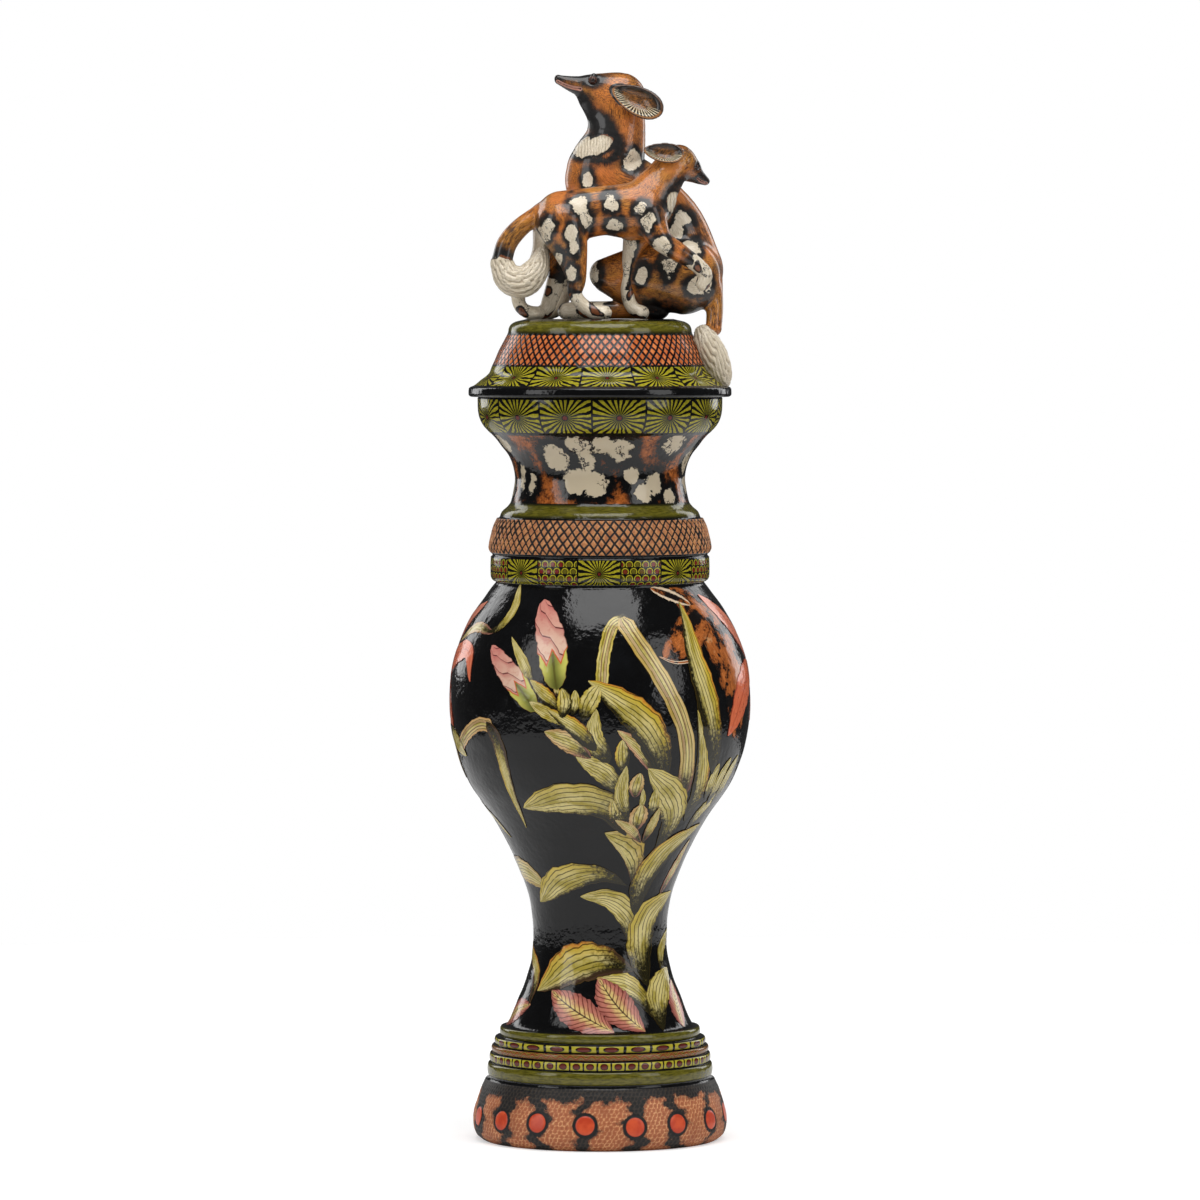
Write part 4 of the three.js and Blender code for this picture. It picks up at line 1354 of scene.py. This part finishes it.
def press_face(clay, snout, size):
    """Eyes in shallow sockets, a nose, and the line of the mouth, on both sides of a head. Returns the
    eyes' places, the nose's, and the places along the mouth."""
    nose, cheek = snout.line[-1, :3], snout.line[0, :3]
    forward = (nose - cheek) / np.linalg.norm(nose - cheek)
    up = np.array([0.0, 0.0, 1.0])
    up -= forward * (up @ forward)
    up /= np.linalg.norm(up)
    side = np.cross(forward, up)
    press_bead(clay, nose + forward * 1.2 * size + up * 1.0 * size, 2.1 * size, 1, 1.0)
    eyes, mouth = [], []
    for sign in (-1, 1):
        eye = cheek + forward * 2.6 * size + up * 4.9 * size + side * sign * 5.6 * size
        press_bead(clay, eye + side * sign * 1.2 * size, 3.1 * size, -1, 1.5)
        press_bead(clay, eye - side * sign * 0.4 * size, 2.5 * size, 1, 0.3)
        press_bead(clay, eye + up * 3.0 * size - side * sign * 0.6 * size, 1.7 * size, 1, 2.0)
        eyes.append(eye)
        corner = cheek + forward * 9.0 * size - up * 2.6 * size + side * sign * 5.2 * size
        front = nose - up * 1.5 * size + side * sign * 2.2 * size + forward * 0.8
        for f in np.linspace(0, 1, 18):
            mouth.append(corner * (1 - f) + front * f - up * 1.0 * size * math.sin(math.pi * f))
            press_bead(clay, mouth[-1], 0.75 * size, -1, 0.5)
    return eyes, nose, mouth


def press_toes(clay, paw, heading):
    """Four toes at the end of a paw, parted by grooves."""
    paw, heading = np.array(paw, float), np.array(heading, float)
    heading /= np.linalg.norm(heading)
    across = np.array([-heading[1], heading[0], 0.0])
    for k in (-1.5, -0.5, 0.5, 1.5):
        toe = paw + heading * (2.8 - 0.5 * abs(k)) + across * k * 2.2 - np.array([0, 0, 1.2])
        press_bead(clay, toe, 2.1, 1, 1.0)
    for k in (-1, 0, 1):
        for reach in np.linspace(1.5, 6, 5):
            groove = paw + heading * reach + across * k * 2.2 + np.array([0, 0, 1.8])
            press_bead(clay, groove, 0.7, -1, 0.5)


def press_dog(dog):
    """The dog's skin as points and faces, and the places of its eyes, nose and mouth."""
    corners = [limb.corners() for limb in dog.limbs]
    lows = np.min([low for low, _ in corners], axis=0) - 4
    highs = np.max([high for _, high in corners], axis=0) + 4
    lows = np.minimum(lows, np.min([ear.middle - ear.length for ear in dog.ears], axis=0) - 2)
    highs = np.maximum(highs, np.max([ear.middle + ear.length for ear in dog.ears], axis=0) + 2)
    clay = Clay(lows, highs, CLAY_PITCH)
    for form in dog.limbs + dog.ears:
        form.press(clay)
    for paw, heading in dog.paws:
        press_toes(clay, paw, heading)
    snout = next(limb for limb in dog.limbs if limb.role == "snout")
    face = press_face(clay, snout, dog.size)
    return clay.skin(), face


def point_normals(points, quads):
    """Which way the skin faces at each point."""
    normal = np.zeros_like(points)
    a, b, c, d = (points[quads[:, k]] for k in range(4))
    face = np.cross(c - a, d - b)
    for k in range(4):
        for axis in range(3):
            normal[:, axis] += np.bincount(quads[:, k], weights=face[:, axis], minlength=len(points))
    return normal / np.maximum(np.linalg.norm(normal, axis=1, keepdims=True), 1e-9)


class Flow:
    """Where each point lies on the limb nearest to it: the limb's role, how far along it (in
    millimetres, and as a share of its length), and the two offsets from its line."""

    def __init__(self, points, limbs):
        count = len(points)
        best = np.full(count, 1e3)
        self.role = np.full(count, "", dtype="U8")
        self.along, self.share, self.sideways, self.upright = (np.zeros(count) for _ in range(4))
        for number, limb in enumerate(limbs):
            distance, along, sideways, upright = limb.flow(points)
            near = distance < best
            best[near] = distance[near]
            self.role[near] = limb.role
            self.along[near] = along[near] + 37 * number      # so that no two limbs' brushwork matches
            self.share[near] = along[near] / limb.along[-1]
            self.sideways[near] = sideways[near]
            self.upright[near] = upright[near]

    def on(self, *roles):
        return np.isin(self.role, roles)


def spot_field(points, spots, shift=(0.0, 0.0)):
    """How far inside the nearest patch each point is, in millimetres."""
    best = np.full(len(points), CLEAR)
    for x, z, wide, tall in spots:
        reach = np.hypot((points[:, 0] - x - shift[0]) / wide, (points[:, 2] - z - shift[1]) / tall)
        best = np.maximum(best, (1 - reach) * min(wide, tall))
    return best


def ruff_field(dog, points):
    """How far inside the throat's ruff each point is: 1 in its middle, 0 at its edge."""
    middle, reach = dog.tuft
    away = points - middle
    away[:, 2] -= 0.2 * away[:, 0]
    return 1 - np.sqrt((away ** 2 / np.square(reach)).sum(axis=1))


def cream_field(dog, points, flow, ruff):
    """How far inside the coat's cream each point is, in millimetres."""
    share = flow.share
    near_side = points[:, 1] < dog.middle_y
    spots = spot_field(points, dog.spots)
    cream = np.where(near_side, spots, spot_field(points, dog.spots, FAR_SHIFT))
    cream = np.where(flow.on("head", "snout"), CLEAR, cream)
    cream = np.where(flow.on("leg", "raised"), np.maximum(cream, (share - 0.66) * 40), cream)
    inner_leg = np.minimum((share + 0.1) * 30, 0.5 - flow.upright * 1.3)
    cream = np.where(flow.on("far_leg"), np.maximum(cream, inner_leg), cream)
    cream = np.where(flow.on("far_leg") & (share > 0.7), 6, cream)
    cream = np.where(flow.on("foot"), np.maximum(cream, (share - 0.6) * 40), cream)
    cream = np.where(flow.on("tip"), 3.0 + share * dog.ends["tip"], cream)
    cream = np.where(flow.on("tail"), dog.tail_marks[0] - (1 - share) * dog.ends["tail"], cream)
    return np.maximum(cream, ruff * 9)


def black_field(dog, points, normal, flow, cream, face):
    """How far inside the coat's black each point is, in millimetres."""
    eyes, nose, _ = face
    unmarked = -8.0
    black = np.full(len(points), unmarked)
    bands = np.sin(flow.along * 0.34 + flow.sideways * 0.5)
    bands = bands + np.sin(flow.along * 0.21 + flow.upright * 0.5 + 2)
    low_leg = flow.on("leg", "far_leg", "raised", "foot") & (flow.share > 0.55)
    black = np.where(low_leg, (bands - 0.9) * 4, black)
    tail = dog.tail_marks[1] - (1 - flow.share) * dog.ends["tail"] * 0.7
    black = np.where(flow.on("tail"), np.where(cream < 0.5, tail, unmarked), black)
    for eye in eyes:
        away = np.linalg.norm((points - eye) * [0.85, 1, 1.15], axis=1)
        black = np.maximum(black, 7.0 * dog.size - away)
    black = np.maximum(black, 5.6 * dog.size - np.linalg.norm(points - nose, axis=1))
    ridge = np.abs(normal[:, 2]) * 6 - 2.6 + dog.muzzle
    black = np.where(flow.on("snout"), np.maximum(black, ridge), black)
    necked = flow.on("body", "head", "throat", "snout") & (cream < 0)
    for x, z, reach in smooth(dog.throat, 30):
        dark = reach - np.hypot(points[:, 0] - x, points[:, 2] - z)
        black = np.where(necked, np.maximum(black, dark), black)
    # Thighs and shanks grow black towards the bottom.
    low = (551 - points[:, 2]) * 0.35
    return np.where(flow.on("thigh", "shank"), np.maximum(black, low), black)


def strands(along, around):
    """The wavy ridges of long hair: 1 on a ridge and 0 in a groove."""
    wave = around * TIP_TURNS + 1.9 * np.sin(along / TIP_WAVE * 9 + around * 3)
    wave = wave + 0.9 * np.sin(along * 0.8 + around * 7)
    return 0.5 + 0.5 * np.sin(wave)


def hair_ridges(points, flow, ruff):
    """The ridges of the tail's tip and the ruff (0 to 1, and 0 elsewhere), and how deep they are."""
    tip = flow.on("tip")
    combed = np.where(tip, strands(flow.along, np.arctan2(flow.sideways, flow.upright)), 0.0)
    ruffed = np.clip(ruff * 4, 0, 1)
    x, z = points[:, 0], points[:, 2]
    hanging = 0.5 + 0.5 * np.sin(x * 3.2 + 0.9 * np.sin(z * 0.7 + x * 0.4))
    hair = np.where(ruffed > 0, hanging * ruffed, combed)
    return hair, np.where(tip, 1.0, 0.0) + ruffed * 0.5


def ear_field(dog, points):
    """What Ear.dish says of the ear whose hollow each point is deepest in."""
    field = np.stack([np.full(len(points), -0.5), np.zeros(len(points)), np.zeros(len(points))])
    for ear in dog.ears:
        dish = np.stack(ear.dish(points))
        field = np.where(dish[0] > field[0], dish, field)
    return field.T


def make_dog(dog, finish):
    """Presses a dog, combs its hair, and stores its marks with its points for its finish to read."""
    (points, quads), face = press_dog(dog)
    eyes, _, mouth = face
    normal = point_normals(points, quads)
    flow = Flow(points, dog.limbs)
    ruff = ruff_field(dog, points)
    cream = cream_field(dog, points, flow, ruff)
    black = black_field(dog, points, normal, flow, cream, face)
    ears = ear_field(dog, points)
    hair, depth = hair_ridges(points, flow, ruff)
    points = points + normal * ((hair - 0.5) * depth)[:, None]
    piece = mesh_object(dog.name, points, quads.tolist(), [finish])
    store_vectors(piece, "coat", np.stack([cream, black, hair], axis=-1))
    store_vectors(piece, "fur", np.stack([flow.along, flow.sideways, flow.upright], axis=-1))
    store_vectors(piece, "ear", ears)
    near_eye = np.min([np.linalg.norm(points - eye, axis=1) for eye in eyes], axis=0)
    near_mouth = np.min([np.linalg.norm(points - step, axis=1) for step in mouth], axis=0)
    store_vectors(piece, "face", np.stack([near_eye, near_mouth, 0 * near_eye], axis=-1) / dog.size)
    return piece


def fur_color(paint, strokes):
    """Brushed orange-brown, with golden and dark patches."""
    where = paint.place()
    broad = paint.noise(where, 46, 3.0, 0.6)
    tint = paint.noise(where, 33, 2.0)
    color = paint.mix(strokes.ramp(0.4, 0.58), rgb(112, 54, 12), rgb(216, 130, 44))
    color = paint.mix(tint.ramp(0.5, 0.64) * strokes.ramp(0.4, 0.55) * 0.6, color, rgb(188, 136, 50))
    color = paint.mix(broad.ramp(0.5, 0.72) * 0.5, color, rgb(228, 130, 62))
    return paint.mix((strokes + broad * 0.6).ramp(0.83, 0.68) * 0.85, color, rgb(40, 22, 10))


def ivory_color(paint, hair, hairs, black, ragged):
    """The coat's cream, brown between its ridges of hair, and blotted or cracked with black."""
    ivory = paint.mix(hairs.ramp(0.3, 0.7), rgb(234, 222, 200), rgb(206, 190, 162))
    ivory = paint.mix(hair.ramp(0.0, 0.35, 0.6, 0.0) * (hair > 0.001), ivory, rgb(132, 108, 78))
    ivory = paint.mix((black + ragged * 5).ramp(0.0, 0.7), ivory, rgb(28, 20, 16))
    ivory = paint.mix((black + ragged * 4).ramp(2.4, 3.2) * 0.8, ivory, rgb(132, 72, 32))
    crack = squiggles(paint, paint.place(), 150) * (hair < 0.001)
    return paint.mix(crack, ivory, rgb(20, 15, 13))


def ear_color(paint, color, strokes, ragged):
    """The coat's colour with the ears' hollows over it: a dark line round each, a golden-brown inside,
    and a comb of cream hairs along its lower edge. Also how high the hairs stand."""
    dish, lift, round_ear, _ = paint.stored("ear")
    low = (lift + ragged * 0.5).ramp(0.15, -0.15)
    golden = strokes.ramp(0.42, 0.6) * (dish + ragged * 0.6).ramp(0.14, 0.5) * 0.85
    inner = paint.mix(golden, rgb(26, 17, 9), rgb(184, 116, 44))
    comb = (round_ear * 36 + ragged * 3 + dish * 3).sine() * 0.5 + 0.5
    fringe = (dish - comb * 0.28 + ragged * 0.6).ramp(0.36, 0.22) * low
    hairs = paint.mix(comb.ramp(0.4, 0.8), rgb(30, 22, 14), rgb(224, 208, 174))
    inner = paint.mix(fringe, inner, hairs)
    # The hollow's rim is dark brown along its upper side and paler brown along its lower side.
    crest = paint.mix(low, rgb(84, 50, 22), rgb(164, 112, 64))
    color = paint.mix(dish.ramp(-0.26, -0.2), color, rgb(18, 14, 12))
    color = paint.mix(dish.ramp(-0.1, -0.06), color, crest)
    color = paint.mix(dish.ramp(-0.01, 0.03), color, inner)
    return color, comb * fringe * dish.ramp(0.0, 0.1) * 1.2


def face_color(paint, color):
    """The coat's colour with the lips and the eyes over it."""
    eye, mouth, _, _ = paint.stored("face")
    color = paint.mix(mouth.ramp(1.2, 1.6, 1.0, 0.0), color, rgb(186, 128, 108))
    color = paint.mix(mouth.ramp(0.6, 0.85, 1.0, 0.0), color, rgb(52, 22, 18))
    color = paint.mix(eye.ramp(2.6, 3.0, 0.7, 0.0), color, rgb(96, 52, 32))
    return paint.mix(eye.ramp(2.0, 2.3, 1.0, 0.0), color, rgb(8, 7, 7))


def coat_paint():
    """A wild dog's coat: brushed orange-brown, ragged black, and cream patches, under glaze."""
    paint = Paint("coat")
    cream, black, hair, _ = paint.stored("coat")
    along, across, up, _ = paint.stored("fur")
    where = paint.place()
    strokes = paint.noise(paint.vector(along * 0.13, across * 1.1, up * 1.1), 1.5, 4.0, 0.7) * 0.6
    fine = paint.noise(paint.vector(along * 0.3, across * 2.4, up * 2.4), 1.7, 3.0, 0.7)
    strokes = strokes + fine * 0.4
    hairs = paint.noise(paint.vector(along * 0.16, across, up), 2.2, 2.0)
    lobes = paint.noise(where, 105, 1.0, 0.4) - 0.5
    ragged = paint.noise(where, 300, 4.0, 0.72) - 0.5
    edge = cream + lobes * 9 + ragged * 5.5
    shadow = black + ragged * 7 + (strokes - 0.5) * 22 + lobes * 4
    color = paint.mix(shadow.ramp(-3.0, 2.6), fur_color(paint, strokes), rgb(15, 13, 12))
    color = paint.mix((edge + (strokes - 0.5) * 12).ramp(-5.4, -1.6), color, rgb(15, 12, 11))
    ivory = ivory_color(paint, hair, hairs, black + lobes * 3, ragged)
    color = paint.mix(edge.ramp(0.0, 0.3), color, ivory)
    color, ear_hairs = ear_color(paint, color, strokes, ragged)
    height = strokes * 0.7 + edge.ramp(-0.4, 0.3) * 0.25 + hairs * hair.ramp(0.0, 0.1) * 1.2
    paint.shader.inputs["Specular IOR Level"].default_value = 0.4
    return paint.finish(face_color(paint, color), 0.42, height + ear_hairs, 0.0004, coat=0.8)


# ---------------------------------------------------------------- stage

CAMERA_DISTANCE = 4600
CAMERA_SIDE = math.radians(1.4)      # the view is from slightly right of the jar's front
CAMERA_UP = 540
AIM_UP = 354
VIEW_WIDTH = 786                     # millimetres across the frame at the jar
SENSOR = 36
WORLD_LIGHT, WORLD_GLOSS = 0.4, 0.05
FLOOR_R, FLOOR_SIDES = 1500, 96
FLOOR_LIFT = 0.45                    # light that the floor adds to its own white
# Softboxes: name, place and the height aimed at in metres, width, height, power.
LIGHTS = [("left_softbox", (-2.2, -1.6, 1.3), 0.35, 1.0, 2.0, 15),
          ("right_softbox", (2.2, -1.5, 1.2), 0.35, 1.0, 2.0, 13),
          ("top_softbox", (0.1, -0.7, 2.5), 0.45, 1.8, 1.9, 40),
          ("back_left", (-1.6, 1.8, 1.2), 0.35, 0.8, 1.8, 10),
          ("back_right", (1.6, 1.8, 1.2), 0.35, 0.8, 1.8, 10)]


def make_camera():
    camera = bpy.data.objects.new("camera", bpy.data.cameras.new("camera"))
    camera.data.sensor_width = SENSOR
    camera.data.lens = SENSOR * CAMERA_DISTANCE / VIEW_WIDTH
    camera.data.clip_end = 100
    camera.location = Vector((math.sin(CAMERA_SIDE) * CAMERA_DISTANCE,
                              -math.cos(CAMERA_SIDE) * CAMERA_DISTANCE, CAMERA_UP)) * MM
    aim = Vector((0, 0, AIM_UP)) * MM - camera.location
    camera.rotation_euler = aim.to_track_quat("-Z", "Y").to_euler()
    bpy.context.scene.collection.objects.link(camera)
    bpy.context.scene.camera = camera


def make_light(name, where, aim_z, width, height, power):
    light = bpy.data.lights.new(name, "AREA")
    light.shape = "RECTANGLE"
    light.size = width
    light.size_y = height
    light.energy = power
    lamp = bpy.data.objects.new(name, light)
    lamp.location = where
    lamp.rotation_euler = (Vector((0, 0, aim_z)) - Vector(where)).to_track_quat("-Z", "Y").to_euler()
    bpy.context.scene.collection.objects.link(lamp)


def make_floor():
    """A round pale floor, as white to the camera as the studio behind it."""
    paint = Paint("floor")
    paint.finish(rgb(226, 226, 226), 0.7)
    seen = paint.node("ShaderNodeLightPath")
    paint.shader.inputs["Emission Color"].default_value = (1, 1, 1, 1)
    connect(paint.tree, Value(paint.tree, seen.outputs["Is Camera Ray"]) * FLOOR_LIFT,
            paint.shader.inputs["Emission Strength"])
    turn = np.linspace(0, 2 * math.pi, FLOOR_SIDES, endpoint=False)
    rim = np.column_stack([FLOOR_R * np.cos(turn), FLOOR_R * np.sin(turn), 0 * turn])
    mesh_object("floor", rim, [list(range(len(rim)))], [paint.material])


def make_world():
    """White to the camera, and dimmer to the object, so that its black glaze stays dark."""
    world = bpy.data.worlds.new("studio")
    world.use_nodes = True
    tree = world.node_tree
    seen = tree.nodes.new("ShaderNodeLightPath")
    to_camera = Value(tree, seen.outputs["Is Camera Ray"])
    to_gloss = Value(tree, seen.outputs["Is Glossy Ray"])
    background = tree.nodes["Background"]
    background.inputs["Color"].default_value = (1, 1, 1, 1)
    strength = to_camera * (1 - WORLD_LIGHT) + to_gloss * (WORLD_GLOSS - WORLD_LIGHT) + WORLD_LIGHT
    connect(tree, strength, background.inputs["Strength"])
    bpy.context.scene.world = world
    bpy.context.scene.view_settings.view_transform = "Standard"


# ---------------------------------------------------------------- assembly

def jar_finishes():
    return {"bare": bare_clay(), "foot": stippled_foot(), "black": black_glaze(), "olive": olive_glaze(),
            "squares": ringed_squares("squares_ring", 50, 1.55, 0.08, 0.42),
            "ovals": ringed_squares("ovals_ring", 24, 3.1, 0.07, 0.85),
            "chevrons": chevron_ring(),
            "scaled_band": rayed_band("scaled_band", 16, 1.75, 1.0, scaled=True),
            "carved_hatch": carved_hatch(),
            "neck": patched_neck(),
            "rayed_band": rayed_band("rayed_band", 14, 1.3, 10.5),
            "liner": liner_glaze()}


def lid_finishes(shared):
    """The lid's finishes: those that it shares with the jar, and its own two bands."""
    finishes = {key: shared[key] for key in ("black", "bare", "liner", "olive")}
    finishes["flare_band"] = rayed_band("flare_band", 14, 1.9, 5.0)
    finishes["hatched_wall"] = hatched_wall()
    return finishes


def main():
    finishes = jar_finishes()
    jar = make_jar(finishes)
    lid = make_lid(lid_finishes(finishes))
    painting = make_painting(painting_finishes())
    coat = coat_paint()
    sitting = make_dog(SITTING, coat)
    standing = make_dog(STANDING, coat)
    pieces = [(jar, "jar"), (painting, "jar"), (lid, "lid"), (sitting, "lid"), (standing, "lid")]
    for piece, node in pieces:
        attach(piece, "root")
        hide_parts(node)
    make_floor()
    make_world()
    make_camera()
    for light in LIGHTS:
        make_light(*light)


main()
